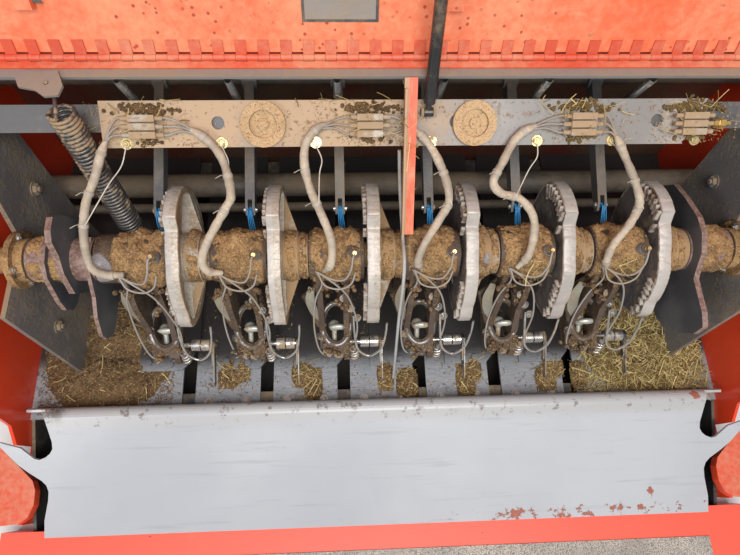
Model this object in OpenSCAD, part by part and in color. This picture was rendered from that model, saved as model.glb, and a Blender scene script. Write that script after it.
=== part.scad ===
// Twine knotter bay of a large square baler: the open bay over the bale chamber, with a row
// of knotters on one shaft, twine arms, grease lines, a sloping rear plate, a step and a hood.
// +X is to the right seen from the rear, +Y forward and +Z up. The origin lies on the base
// plane, midway between the four frame bolts and straight below the knotter shaft.

/* [Bay] */
// Number of knotters on the shaft
knotter_count = 6; // [4:1:6]
// Distance from one knotter to the next
knotter_pitch = 200; // [195:1:205]
// Clear width between the side walls
bay_w = 1780; // [1760:10:1840]
// Height of the deck above the base plane
deck_z = 160; // [150:5:180]
// Thickness of the deck strips
deck_t = 8; // [6:1:10]
// Width of a needle slot in the deck
slot_w = 34; // [30:1:40]
// Thickness of the painted sheet of the side walls
wall_t = 8; // [5:1:10]

/* [Base] */
// Thickness of the sill webs and flanges
sill_t = 8; // [6:1:10]
// Width of the sill's bottom flange
sill_flange_w = 70; // [60:1:90]
// Side of the square cross beams
beam_w = 60; // [50:1:70]
// Distance from a side wall's inner face to its frame bolts
bolt_inset = 40; // [36:1:48]
// Distance between the frame bolts along the bay
bolt_dy = 400; // [300:10:500]
// Diameter of the frame bolt holes
bolt_hole_d = 18; // [14:0.5:22]

/* [Rear plate and step] */
// Gap between the rear plate's end and a side wall
plate_gap = 52; // [45:1:60]
// Height of the rear plate's rounded lip
lip_z = 220; // [210:5:240]
// Radius of the rounded lip
lip_r = 22; // [16:1:28]
// Thickness of the rear plate
rear_plate_t = 6; // [4:1:8]
// Depth of the step, front to rear
step_d = 250; // [220:5:300]
// Height of the step
step_z = 75; // [70:1:80]
// Thickness of the step's sheet
step_t = 5; // [4:1:6]
// Thickness of the gritty strip on the step
grip_t = 3; // [2:0.5:4]

/* [Side plates] */
// Distance from a side wall's inner face to the side plate's inner face
side_plate_inset = 120; // [110:2:130]
// Thickness of a side plate
side_plate_t = 10; // [8:1:12]

/* [Knotter shaft] */
// Height of the knotter shaft above the base plane
shaft_z = 525; // [515:1:535]
// Diameter of the knotter shaft
shaft_d = 56; // [50:1:60]
// Outer diameter of the knotter frames' hubs
hub_d = 104; // [96:1:110]
// Outer diameter of the cam discs' hubs
disc_hub_d = 92; // [84:1:98]
// Radial running clearance at the shaft
run_gap = 0.08; // [0.05:0.01:0.1]
// Largest radius of a cam disc
disc_r = 150; // [145:1:152]
// Axial width of a cam disc's rim
disc_rim_w = 26; // [22:1:28]
// Radial thickness of a cam disc's rim
disc_rim_t = 13; // [10:1:16]
// Thickness of a cam disc's web
disc_web_t = 10; // [8:1:12]
// Distance from a needle slot to the flat side of its disc
disc_off = 54; // [53:0.5:56]
// Teeth in the drive segment on a disc's flat side
disc_teeth = 9; // [7:1:9]
// Thickness of an end cam's plate
end_cam_t = 12; // [10:1:16]
// Distance from a side plate to the end cam
end_cam_inset = 118; // [114:1:124]

/* [Crossbar] */
// Slope of the crossbar's face, up towards the front
face_tilt = 35.5; // [34:0.5:37]
// Length of the crossbar's face, bottom to top
face_h = 85; // [80:1:90]
// Thickness of the pale carrier plate on the crossbar
carrier_t = 6; // [4:1:8]
// Depth of the dark beam behind the carrier plate
crossbeam_t = 46; // [40:1:55]
// Width of the dark beam's face
crossbeam_h = 50; // [46:1:54]

/* [Top bar and hood] */
// Height of the top bar's upper face
top_bar_z = 812; // [806:1:816]
// Width of the top bar
top_bar_w = 34; // [30:1:38]
// Thickness of the top bar
top_bar_t = 6; // [5:1:8]
// Radius of the hinge's knuckles
knuckle_r = 6; // [5:0.5:7]
// Length of one knuckle
knuckle_w = 20; // [18:1:30]
// Thickness of the hood's sheet
hood_t = 4; // [3:0.5:5]
// Depth of the hood's turned edges
hood_edge = 40; // [30:1:50]
// Angle by which the hood stands open
hood_open = 115; // [100:1:118]

/* [Twine arms] */
// Width of a twine arm
arm_w = 21; // [18:1:24]
// Depth of a twine arm
arm_h = 34; // [30:1:38]
// Wall of a twine arm's channel
arm_t = 4; // [3:0.5:5]
// Diameter of the twine arms' shaft
arm_shaft_d = 24; // [20:1:28]
// Outer radius of an arm spring
spring_r = 8.5; // [7:0.5:10]

/* [Hidden] */
$fn = 48;
half_w = bay_w / 2;
wall_out = half_w + wall_t;
deck_under = deck_z - deck_t;
front_y = 480;
deck_rear_y = -285;
rear_beam_y = -290;
front_beam_y = 400;
side_plate_x = half_w - side_plate_inset;
bolt_dx = bay_w - 2 * bolt_inset;
lip_y = -262 - lip_r;
step_front_y = -550;
step_rear_y = step_front_y - step_d - 12;
step_half = half_w + 70;
shaft_r = shaft_d / 2;
hub_r = hub_d / 2;
disc_hub_r = disc_hub_d / 2;
seat = 0.3;

// Crossbar's middle, and the twine arm's pivot, rear end and spring eye, as [y, z]
face_mid = [186.5, 730.6];
arm_pivot = [415, 578];
arm_end = [111, 494];
spring_eye = [302, 566];
spring_top = [238, top_bar_z - top_bar_t - seat];
hinge = [265, top_bar_z + knuckle_r];
strut_foot = [191, 757];
strut_eye = [336, 1131];
strut_x = 70;

function knotter_x(k) = (k - (knotter_count - 1) / 2) * knotter_pitch;

// Extrudes an outline drawn as [y, z] from one x to another
module side_profile(x0, x1) {
    translate([x0, 0, 0]) rotate([90, 0, 90]) linear_extrude(x1 - x0) children();
}

// Round bar along X
module bar_x(x0, x1, p, r) {
    translate([x0, p[0], p[1]]) rotate([0, 90, 0]) cylinder(r = r, h = x1 - x0);
}

// Round bar between two points of one plane of constant x
module bar_yz(x, p, q, r) {
    translate([x, p[0], p[1]])
        rotate([-atan2(q[0] - p[0], q[1] - p[1]), 0, 0])
        cylinder(r = r, h = norm(q - p));
}

// Round bar between any two points
module rod(p, q, r) {
    d = q - p;
    translate(p) rotate([0, acos(d[2] / norm(d)), atan2(d[1], d[0])])
        cylinder(r = r, h = norm(d));
}

// Puts children on the crossbar's sloping face, with local +Y up the slope and +Z outwards
module on_face(x) {
    translate([x, face_mid[0], face_mid[1]]) rotate([face_tilt, 0, 0]) children();
}

// Turns children about the hood's hinge line
module about_hinge(a) {
    translate([0, hinge[0], hinge[1]]) rotate([a, 0, 0])
        translate([0, -hinge[0], -hinge[1]]) children();
}

function turned(p, a) = hinge + [[cos(a), -sin(a)], [sin(a), cos(a)]] * (p - hinge);

// Corners of a path rounded with arcs of radius r
function unit(v) = v / norm(v);
function bend(a, b, c, r) =
    let (u = unit(a - b), w = unit(c - b), half = acos(u * w) / 2,
         d = r / tan(half), m = b + unit(u + w) * (r / sin(half)),
         p = b + u * d, q = b + w * d,
         a0 = atan2(p[1] - m[1], p[0] - m[0]), a1 = atan2(q[1] - m[1], q[0] - m[0]),
         turn = a1 - a0 > 180 ? a1 - a0 - 360 : a1 - a0 < -180 ? a1 - a0 + 360 : a1 - a0)
    [for (i = [0:5]) m + r * [cos(a0 + turn * i / 5), sin(a0 + turn * i / 5)]];
function rounded(path, r) = let (n = len(path) - 1)
    concat([path[0]], [for (i = [1:n - 1]) each bend(path[i - 1], path[i], path[i + 1], r)],
           [path[n]]);

// Outline of a sheet of thickness t that follows a path, on the path's left
function side_dir(a, b) = let (d = unit(b - a)) [-d[1], d[0]];
function shifted(path, t) = let (n = len(path) - 1)
    [for (i = [0:n])
        let (m = side_dir(path[max(i - 1, 0)], path[max(i, 1)]),
             o = side_dir(path[min(i, n - 1)], path[min(i + 1, n)]),
             s = unit(m + o))
        path[i] + s * t / (s * m)];
function sheet(path, t) =
    let (far = shifted(path, t), n = len(path) - 1)
    concat(path, [for (i = [n:-1:0]) far[i]]);

// Base: two side sills with bolt flanges, and the square beams between them

sill_outline = [[step_front_y + seat, 0], [front_y - wall_t, 0],
    [front_y - wall_t, deck_under], [deck_rear_y, deck_under], [step_front_y + seat, 60]];

module sill() {
    y0 = step_front_y + seat;
    y1 = front_y - wall_t;
    side_profile(half_w - sill_t, half_w) polygon(sill_outline);
    difference() {
        translate([half_w - sill_t - sill_flange_w, y0, 0])
            cube([sill_flange_w + 1, y1 - y0, sill_t]);
        for (y = [-1, 1])
            translate([bolt_dx / 2, y * bolt_dy / 2, -1])
                cylinder(d = bolt_hole_d, h = sill_t + 2);
    }
    translate([half_w - sill_t - 42, deck_rear_y, deck_under - sill_t])
        cube([43, y1 - deck_rear_y, sill_t]);
}

module base_sills() {
    color("dimgray") {
        sill();
        mirror([1, 0, 0]) sill();
    }
}

module base_tray() {
    half = half_w - sill_t - sill_flange_w - seat;
    y0 = step_front_y + seat;
    color("black")
    translate([-half, y0, 0]) cube([2 * half, front_y - wall_t - y0, 4]);
}

module cross_beams() {
    beam_half = half_w - sill_t - 42;
    color("dimgray")
    for (y = [rear_beam_y, front_beam_y])
        difference() {
            translate([-beam_half, y, deck_under - beam_w])
                cube([2 * beam_half, beam_w, beam_w]);
            translate([-beam_half - 1, y + sill_t, deck_under - beam_w + sill_t])
                cube([2 * beam_half + 2, beam_w - 2 * sill_t, beam_w - 2 * sill_t]);
        }
}

// Deck: one strip between each two needle slots, and a wide plate at each side

module deck_strips() {
    color("slategray")
    for (k = [0:knotter_count]) {
        x0 = k == 0 ? -half_w : knotter_x(k - 1) + slot_w / 2;
        x1 = k == knotter_count ? half_w : knotter_x(k) - slot_w / 2;
        translate([x0, deck_rear_y, deck_under])
            cube([x1 - x0, front_y - wall_t - deck_rear_y, deck_t]);
    }
}

// Rear plate: a sheet rolled over at its lip, sloping down to the step, its ends notched

lip_in = lip_r - rear_plate_t;
plate_run = [lip_y - step_front_y + 12, lip_z - lip_r - step_z - seat];
plate_slope = atan2(plate_run[1], plate_run[0]) + asin(lip_in / norm(plate_run));
plate_len = sqrt(plate_run * plate_run - lip_in * lip_in);

lip_steps = 8;
lip_arc = [for (i = [0:lip_steps])
    let (a = (90 + plate_slope) * i / lip_steps)
    [lip_y, lip_z - lip_r] + lip_r * [cos(a), sin(a)]];
plate_path = concat([[lip_y + lip_r, deck_z]], lip_arc,
    [lip_arc[lip_steps] - plate_len * [cos(plate_slope), sin(plate_slope)]]);

// Pieces cut from each end of the sloping part: distances out from the end and down the slope
plate_half = half_w - plate_gap;
plate_tongue = 98;
lip_over = 36;
notch_upper = [[160, -60], [lip_over, -60], [lip_over, -14], [-8, -14], [-13, 9], [-26, 66],
    [-26, 84], [-19, 96], [-8, 105], [7, 111], [19, 108], [49, 80], [plate_tongue, 64], [160, 46]];
notch_lower = [[160, 58], [plate_tongue, 74], [58, 123], [35, 143], [6, 165], [-4, 177],
    [-8, 193], [-5, 217], [8, 269], [14, 340], [160, 340]];

module rear_plate() {
    half = plate_half + plate_tongue;
    color("lightsteelblue")
    difference() {
        side_profile(-half, half) polygon(sheet(plate_path, rear_plate_t));
        for (side = [-1, 1])
            translate([side * plate_half, lip_y, lip_z - lip_r]) rotate([plate_slope, 0, 0]) {
                for (notch = [notch_upper, notch_lower])
                    translate([0, 0, 5]) linear_extrude(2 * lip_r)
                        polygon([for (p = notch) [side * p[0], lip_r / 2 - p[1]]]);
                translate([side * (lip_over + 81), 20, -50]) cube([160, 160, 112], center = true);
            }
    }
}

// Step: a folded sheet box with rounded rear corners, and the gritty strip on it

module step_outline(inset) {
    r = 30 - inset;
    x = step_half - inset;
    y0 = step_rear_y + inset;
    y1 = step_front_y - inset;
    translate([-x, y0 + r]) square([2 * x, y1 - y0 - r]);
    translate([-x + r, y0]) square([2 * (x - r), r + 1]);
    for (side = [-1, 1]) translate([side * (x - r), y0 + r]) circle(r = r);
}

module step() {
    color("orangered")
    difference() {
        linear_extrude(step_z) step_outline(0);
        translate([0, 0, -1]) linear_extrude(step_z - step_t + 1) step_outline(step_t);
    }
}

module step_grip() {
    color("gray")
    translate([-step_half + 120, step_rear_y + 30, step_z])
        cube([2 * step_half - 240, step_d - 90, grip_t]);
}

// Side walls: painted sheets whose top edge follows the closed hood

leaf_drop = 1;
hood_top_z = hinge[1] + knuckle_r - leaf_drop + hood_t;
hood_knots = [[hinge[0] - 8, hood_top_z], [15, hood_top_z], [-215, 650], [-318, 240]];
hood_path = rounded(hood_knots, 70);
wall_gap = 8;
wall_top = shifted(hood_path, hood_t + wall_gap);

wall_rear_y = -348;
cover_z = 145;
cover_h = 25;

module side_wall(drive_hole) {
    side_profile(half_w, wall_out) difference() {
        polygon(concat([[front_y, top_bar_z - 12]], wall_top,
            [[wall_rear_y, 200], [wall_rear_y, cover_z - cover_h],
             [step_front_y + 19, cover_z - cover_h], [step_front_y + 19, 25], [front_y, 25]]));
        translate([225, 470]) circle(r = 55);
        if (drive_hole > 0) translate([0, shaft_z]) circle(r = drive_hole);
    }
}

module side_wall_left() {
    color("red") mirror([1, 0, 0]) side_wall(75);
}

module side_wall_right() {
    color("red") side_wall(0);
}

// Covers beside the rear plate: shallow pans with rounded corners, on the walls' rear ends
cover_outline = [[step_half, -348], [half_w + 7, -404], [half_w - 22, -430], [half_w - 32, -452],
    [half_w - 34, -486], [half_w - 24, -514], [half_w - 5, -527], [step_half, -533]];

module side_cover() {
    translate([0, 0, cover_z - cover_h])
    difference() {
        linear_extrude(cover_h) polygon(cover_outline);
        translate([0, 0, -1]) linear_extrude(cover_h - step_t + 1)
            offset(delta = -step_t) polygon(cover_outline);
    }
}

module side_covers() {
    color("orangered") {
        side_cover();
        mirror([1, 0, 0]) side_cover();
    }
}

module front_panel() {
    color("firebrick")
    translate([-half_w, front_y - wall_t, 0])
        cube([bay_w, wall_t, top_bar_z - 16]);
}

module roof_panel() {
    y0 = hinge[0] - 3;
    color("firebrick")
    translate([-half_w, y0, top_bar_z - 16])
        cube([bay_w, front_y - y0, 4]);
}

// Side plates: dark cheeks that carry the shaft, the crossbar and the top bar

module side_plate(x0) {
    color("darkslategray")
    side_profile(x0, x0 + side_plate_t) difference() {
        polygon([[-172, deck_z], [-128, shaft_z + 9], [44, shaft_z + 6], [112, 680], [136, 760],
            [206, top_bar_z - top_bar_t], [spring_top[0] + 16, top_bar_z - top_bar_t],
            [258, 640], [215, 330], [215, deck_z]]);
        translate([0, shaft_z]) circle(r = shaft_r + 8);
    }
}

module side_plate_left() {
    side_plate(-side_plate_x - side_plate_t);
}

module side_plate_right() {
    side_plate(side_plate_x);
}

// Crossbar: a dark beam between the side plates, and the pale carrier plate on its face

beam_low = face_h / 2 - carrier_t - seat - crossbeam_h;

module crossbeam() {
    color("dimgray")
    on_face(0)
    difference() {
        translate([-side_plate_x, beam_low, -crossbeam_t])
            cube([2 * side_plate_x, crossbeam_h, crossbeam_t]);
        translate([-side_plate_x - 1, beam_low + 5, -crossbeam_t - 1])
            cube([2 * side_plate_x + 2, crossbeam_h - 10, crossbeam_t - 4]);
    }
}

carrier_x0 = -541;
carrier_x1 = 617;

module carrier_plate() {
    holes = [-325, 125, 520];
    half = face_h / 2;
    color("silver")
    on_face(0)
    difference() {
        side_profile(carrier_x0, carrier_x1)
            polygon([[-half, 0], [half - carrier_t, 0], [half - carrier_t, -crossbeam_t / 2],
                [half, -crossbeam_t / 2], [half, carrier_t], [-half, carrier_t]]);
        for (x = holes) translate([x, 2, -1]) cylinder(r = 12, h = carrier_t + 2);
        translate([carrier_x1, -half, -1]) rotate([0, 0, 40])
            cube([60, 60, 2 * carrier_t + 4], center = true);
    }
}

// Top bar: an angle across the bay, with the fixed leaf of the hinge on it

module top_bar() {
    y1 = hinge[0] - 3;
    color("gray") {
        translate([-half_w, y1 - top_bar_w, top_bar_z - top_bar_t])
            cube([bay_w, top_bar_w, top_bar_t]);
        translate([-half_w, y1 - top_bar_t, top_bar_z - 42])
            cube([bay_w, top_bar_t, 42]);
    }
}

pin_r = 2.5;
fixed_leaf_w = 14;
knuckle_n = floor((bay_w - 40) / knuckle_w / 2) * 2;
function knuckle_x(i) = (i - knuckle_n / 2) * knuckle_w;

module hinge_leaf_fixed() {
    color("orangered")
    difference() {
        union() {
            translate([knuckle_x(0), hinge[0] - 6 - fixed_leaf_w, top_bar_z])
                cube([knuckle_n * knuckle_w, fixed_leaf_w, 3]);
            for (i = [0:2:knuckle_n - 1]) {
                bar_x(knuckle_x(i) + 0.3, knuckle_x(i + 1) - 0.3, hinge, knuckle_r);
                translate([knuckle_x(i) + 0.3, hinge[0] - 8, top_bar_z])
                    cube([knuckle_w - 0.6, 8, 3]);
            }
        }
        bar_x(knuckle_x(0) - 1, knuckle_x(knuckle_n) + 1, hinge, pin_r + run_gap);
    }
}

leaf_t = 3;
leaf_w = 30;
leaf_top = hinge[1] + knuckle_r - leaf_drop;

module hinge_leaf_hood() {
    leaf = [[0, leaf_top], [-leaf_w, leaf_top], [-leaf_w, leaf_top - leaf_t], [0, leaf_top - leaf_t]];
    color("orangered") {
        bar_x(knuckle_x(0), knuckle_x(knuckle_n) - 1, hinge, pin_r);
        for (i = [1:2:knuckle_n - 1])
            side_profile(knuckle_x(i) + 0.3, knuckle_x(i + 1) - 0.3) {
                translate(hinge) circle(r = knuckle_r);
                polygon([for (p = leaf) turned([hinge[0] + p[0], p[1]], -hood_open)]);
            }
    }
}

// Hood: a folded sheet with turned ends and stiffening ribs, drawn closed and turned open

hood_half = wall_out + 6;

module hood_shell() {
    color("tomato")
    about_hinge(-hood_open) {
        side_profile(-hood_half, hood_half) polygon(sheet(hood_path, hood_t));
        for (side = [-1, 1])
            side_profile(side > 0 ? hood_half - hood_t : -hood_half,
                         side > 0 ? hood_half : -hood_half + hood_t)
                polygon(sheet(hood_path, hood_edge));
    }
}

rib_path = rounded(shifted([[180, hood_top_z], hood_knots[1], hood_knots[2],
    hood_knots[2] + (hood_knots[3] - hood_knots[2]) * 0.82], hood_t + seat), 70 - hood_t - seat);
rib_x = [-612, strut_x + 32, 700];
rib_w = 32;
rib_h = 18;

// Ear for the gas strut's eye, on the hood's sloping panel
eye_closed = turned(strut_eye, hood_open);
ear_run = unit(hood_knots[2] - hood_knots[1]);
ear_in = side_dir(hood_knots[1], hood_knots[2]);
ear_foot = hood_knots[1] + ear_run * ((eye_closed - hood_knots[1]) * ear_run) + ear_in * hood_t;

module hood_ribs() {
    color("firebrick")
    about_hinge(-hood_open)
    for (x = rib_x)
        side_profile(x - rib_w / 2, x + rib_w / 2) polygon(sheet(rib_path, rib_h));
    about_hinge(-hood_open)
    side_profile(strut_x + 8 + 2 * seat, rib_x[1] - rib_w / 2)
        polygon([ear_foot + ear_in * seat - ear_run * 34, ear_foot + ear_in * seat + ear_run * 34,
            eye_closed + ear_run * 11 + ear_in * 10, eye_closed - ear_run * 11 + ear_in * 10]);
}

// Gas strut between the crossbar and the hood

strut_dir = unit(strut_eye - strut_foot);
strut_tube_l = 222;
strut_rod_r = 5;
tube_end = strut_foot + strut_dir * strut_tube_l;

module strut_tube() {
    color("black")
    difference() {
        union() {
            bar_yz(strut_x, strut_foot + strut_dir * 21, tube_end, 11);
            bar_yz(strut_x, strut_foot, strut_foot + strut_dir * 23, 5);
            bar_x(strut_x - 8, strut_x + 8, strut_foot, 8);
        }
        bar_yz(strut_x, strut_foot + strut_dir * 32, tube_end + strut_dir, strut_rod_r + seat);
        bar_x(strut_x - 9, strut_x + 9, strut_foot, strut_pin_r + run_gap);
    }
}

// Two ears on the carrier plate with the pin of the strut's lower eye
face_n = [-sin(face_tilt), cos(face_tilt)];
face_u = [cos(face_tilt), sin(face_tilt)];
strut_up = (strut_foot - face_mid) * face_u;
strut_out = (strut_foot - face_mid) * face_n;
strut_pin_r = 4;

module strut_bracket() {
    color("gray") {
        for (side = [-1, 1])
            on_face(strut_x + side * 11.5 - 2.5) translate([0, strut_up - 7, carrier_t])
                cube([5, 14, strut_out - carrier_t + 7]);
        bar_x(strut_x - 13, strut_x + 13, strut_foot, strut_pin_r);
    }
}

module strut_rod() {
    color("silver") {
        bar_yz(strut_x, tube_end - strut_dir * 20, strut_eye, strut_rod_r);
        bar_x(strut_x - 8, strut_x + 8, strut_eye, 8);
    }
}

// Flange bearings that hold the shaft on the side plates

module bearing(side) {
    x0 = side > 0 ? side_plate_x - 30 : -side_plate_x;
    x_flange = side > 0 ? side_plate_x - 12 : -side_plate_x;
    difference() {
        union() {
            bar_x(x0, x0 + 30, [0, shaft_z], 46);
            bar_x(x_flange, x_flange + 12, [0, shaft_z], 60);
        }
        bar_x(x0 - 1, x0 + 31, [0, shaft_z], shaft_r + run_gap);
    }
}

module shaft_bearings() {
    color("sienna") {
        bearing(-1);
        bearing(1);
    }
}

// Base plates on the deck, one under each knotter frame, with hex bolts
plate_t = 8;
plate_top = deck_z + plate_t;

module base_plates() {
    color("slategray")
    for (k = [0:knotter_count - 1])
        translate([knotter_x(k), 0, deck_z]) {
            linear_extrude(plate_t) polygon([[-130, -172], [-21, -172], [3, -145], [22, -100],
                [22, 140], [-130, 140]]);
            for (p = [[-106, -150], [-50, -157], [-106, 110]])
                translate([p[0], p[1], plate_t - 1]) cylinder(r = 9, h = 8, $fn = 6);
        }
}

// Knotter frames: each a cast hub round the shaft with two cheeks, a window ring, a lower boss
// with its nut, the pinion's shaft, a twine guide, a grease cup and a foot on the base plate

hub_x0 = -66;
hub_x1 = 48;
first_hub_x0 = -98;
window = [-100, 338];
window_tilt = 24;
boss = [-148, 298];
boss_r = 17;
pinion_top = [2, -52, 440];
pinion_low = [26, -98, 362];

module knotter_frame(x, x0) {
    difference() {
        union() {
            bar_x(x + x0, x + hub_x1, [0, shaft_z], hub_r);
            side_profile(x - 54, x - 41) polygon([[-46, 545], [-92, 450], [-110, 372], [-132, 318],
                [-154, 302], [-150, 283], [-112, 285], [-70, 296], [-40, 360], [-10, 450], [30, 490]]);
            side_profile(x + 3, x + 16) polygon([[-46, 545], [-84, 452], [-96, 400], [-140, 335],
                [-172, 318], [-180, 292], [-150, 279], [-96, 296], [-44, 376], [-12, 450], [30, 490]]);
            side_profile(x - 62, x - 46) polygon([[-20, 480], [40, 480], [92, 250], [124, plate_top + 10],
                [124, plate_top], [40, plate_top], [44, 240]]);
            translate([x - 84, 30, plate_top]) cube([60, 100, 9]);
            bar_x(x - 48, x + 12, boss, boss_r);
            translate([x - 1, boss[0], boss[1]]) rotate([30, 0, 0])
                cylinder(r = 12, h = boss_r + 9, $fn = 6);
            translate([x, 0, 0]) {
                rod(pinion_top, pinion_low, 12);
                rod(pinion_top * 0.87 + pinion_low * 0.13, (pinion_top + pinion_low) / 2, 17);
                rod([-46, -40, 478], [-84, -60, 429], 6);
                translate([-84, -60, 429]) sphere(r = 7.5);
                rod([-84, -60, 429], [-55, -108, 350], 6);
                rod([28, -15, shaft_z + 40], [28, -27, shaft_z + 72], 10);
                rod([28, -24, shaft_z + 64], [28, -30, shaft_z + 80], 6);
            }
        }
        bar_x(x + x0 - 1, x + hub_x1 + 1, [0, shaft_z], shaft_r + run_gap);
    }
    translate([x - 15, window[0], window[1]]) rotate([window_tilt, 0, 0]) translate([0, 0, -6])
    difference() {
        linear_extrude(18) oval(41, 57);
        translate([0, 0, -1]) linear_extrude(20) oval(26, 43);
    }
}

module oval(a, b) {
    polygon([for (t = [0:15:345]) [a * cos(t), b * sin(t)]]);
}

// Ear on the first hub for the lower end of the large spring
big_low = [-553, 78, 488];
big_wire = 4;
ear_w = 12;

module spring_ear() {
    x = big_low[0];
    difference() {
        side_profile(x - ear_w / 2, x + ear_w / 2) polygon([[20, 565], [48, 532], [84, 503],
            [93, 490], [88, 474], [70, 468], [25, 483]]);
        bar_x(x - ear_w, x + ear_w, [big_low[1], big_low[2]], big_wire + seat);
        bar_x(x - 8, x + 8, [0, shaft_z], shaft_r + run_gap);
    }
}

module knotter_frames() {
    color("saddlebrown")
    for (k = [0:knotter_count - 1]) {
        knotter_frame(knotter_x(k), k == 0 ? first_hub_x0 : hub_x0);
        if (k == 0) spring_ear();
    }
}

// Twine rollers: two bright drums on a pin beside each frame
roller = [-140, 314];
roller_r = 14;
roller_pin_r = 6;
cheek_x = 16;

module twine_rollers() {
    color("silver")
    for (k = [0:knotter_count - 1]) {
        x = knotter_x(k) + cheek_x + seat;
        bar_x(x, x + 80, roller, roller_pin_r);
        bar_x(x + 26, x + 46, roller, roller_r);
        bar_x(x + 49, x + 69, roller, roller_r);
    }
}

// Bill hooks: a rounded head in each window, on a stem from the lower boss
module bill_hooks() {
    head = [-103, 328];
    d = unit(head - boss);
    color("silver")
    for (k = [0:knotter_count - 1]) {
        x = knotter_x(k) - 20;
        bar_yz(x, boss + d * (boss_r + seat), head, 6);
        translate([x, head[0], head[1]]) sphere(r = 14);
        rod([x, head[0], head[1]], [x + 21, head[0] - 8, head[1] + 3], 5);
    }
}

// Stripper springs: three coils on a bolt against each frame's right cheek
module stripper_springs() {
    top = [-158, 328];
    low = [-172, 284];
    coil_r = 11;
    d = unit(low - top);
    color("silver")
    for (k = [0:knotter_count - 1]) {
        x = knotter_x(k) + cheek_x + coil_r + seat;
        bar_yz(x, top, low, 7);
        for (i = [0:2])
            bar_yz(x, top + d * (3 + 14 * i), top + d * (12 + 14 * i), coil_r);
    }
}

// Twine fingers: a short finger and a long blade on each roller's pin
module twine_fingers() {
    color("dimgray")
    for (k = [0:knotter_count - 1]) {
        x = knotter_x(k) + cheek_x + 72;
        difference() {
            side_profile(x, x + 3.7) polygon([[-128, 320], [-140, 326], [-190, 300], [-196, 290],
                [-186, 286], [-140, 302], [-128, 306]]);
            bar_x(x - 1, x + 5, roller, roller_pin_r + seat);
        }
        difference() {
            side_profile(x + 4, x + 7) polygon([[-128, 320], [-142, 325], [-226, 290], [-234, 276],
                [-224, 272], [-142, 303], [-128, 306]]);
            bar_x(x + 3, x + 8, roller, roller_pin_r + seat);
        }
    }
}

// Grease distributor blocks, hose bundles and covers on the carrier plate

block_x = [-460, -40, 368, 586];
block_up = -4;

module grease_block(x) {
    on_face(x) translate([0, block_up, carrier_t]) {
        translate([-20, -21, 0]) cube([40, 42, 8]);
        for (y = [-15, 0, 15], z = [8]) {
            translate([-24, y - 6, z - 1]) cube([48, 12, 15]);
            for (s = [-1, 1])
                translate([s * 24 - (s < 0 ? 14 : 0), y, z + 6]) rotate([0, 90, 0])
                    cylinder(r = 4.5, h = 14);
        }
    }
}

module grease_blocks() {
    color("gainsboro")
    for (x = block_x) grease_block(x);
}

// Routes of the sleeved hose bundles, from the crossbar down to the knotter hubs
bundle_r = 9.5;
bundle_routes = [
    [[-498.3, 174, 741.3], [-506, 174, 741.3], [-522, 160, 738], [-538, 126, 724],
     [-553, 92, 702], [-574, 55, 678], [-586, 15, 650], [-591, -20, 620],
     [-588, -46, 590], [-570, -51, 564], [-536, -50, 561.3]],
    [[-421.7, 174, 741.3], [-410, 174, 741.3], [-366, 166, 737], [-322, 128, 716],
     [-304, 62, 690], [-318, 40, 668], [-352, -5, 636], [-372, -36, 604],
     [-366, -51, 576], [-340, -50, 561.3]],
    [[-78.3, 174, 741.3], [-90, 174, 741.3], [-130, 174, 742], [-160, 147, 728],
     [-165, 110, 706], [-155, 70, 684], [-140, 40, 664], [-118, -10, 626],
     [-120, -44, 590], [-134, -50, 561.3]],
    [[-1.7, 174, 741.3], [10, 174, 741.3], [44, 166, 738], [76, 140, 720], [102, 92, 697],
     [112, 50, 672], [94, 20, 646], [68, -15, 616], [56, -42, 588], [66, -50, 561.3]],
    [[329.7, 174, 741.3], [318, 174, 741.3], [276, 171, 740], [240, 151, 729],
     [214, 110, 708], [198, 80, 690], [215, 62, 676], [252, 55, 668], [280, 30, 650],
     [288, 0, 626], [282, -35, 592], [266, -50, 561.3]],
    [[406.3, 174, 741.3], [416, 174, 741.3], [432, 160, 734], [454, 120, 714],
     [480, 70, 688], [492, 40, 664], [480, 10, 636], [456, -20, 606], [446, -46, 586], [456, -50, 561.3]]];

// Tube swept along a route with a ring of sides at each of its points
function ring_axes(t) = let (h = abs(t[0]) > 0.9 ? [0, 0, 1] : [1, 0, 0],
    u = unit(cross(t, h))) [u, cross(t, u)];
module hose(route, r, sides = 10) {
    n = len(route) - 1;
    pts = [for (i = [0:n])
        let (t = unit(route[min(i + 1, n)] - route[max(i - 1, 0)]), ax = ring_axes(t))
        for (j = [0:sides - 1])
            route[i] + r * (cos(j * 360 / sides) * ax[0] + sin(j * 360 / sides) * ax[1])];
    faces = concat(
        [[for (j = [0:sides - 1]) j]],
        [for (i = [0:n - 1], j = [0:sides - 1]) let (b = i * sides, e = (j + 1) % sides)
            [b + j, b + sides + j, b + sides + e, b + e]],
        [[for (j = [sides - 1:-1:0]) n * sides + j]]);
    polyhedron(pts, faces, convexity = 4);
}

module hose_bundles() {
    color("lightgray")
    for (route = bundle_routes) hose(route, bundle_r);
}

module cover_caps() {
    color("burlywood")
    for (x = [-240, 160])
        on_face(x) translate([0, -1, carrier_t]) {
            difference() {
                cylinder(r = 42, h = 12);
                translate([0, 0, 4]) cylinder(r = 26, h = 9);
            }
            translate([0, 0, 3]) cylinder(r = 11, h = 7, $fn = 6);
        }
}

// Large tension spring on the left, from a bracket on the top bar to the first hub's ear

big_r = 25;
big_hook = [-604, 212];
big_top = [-583, 168, 800];
bracket_t = 5;

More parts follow.
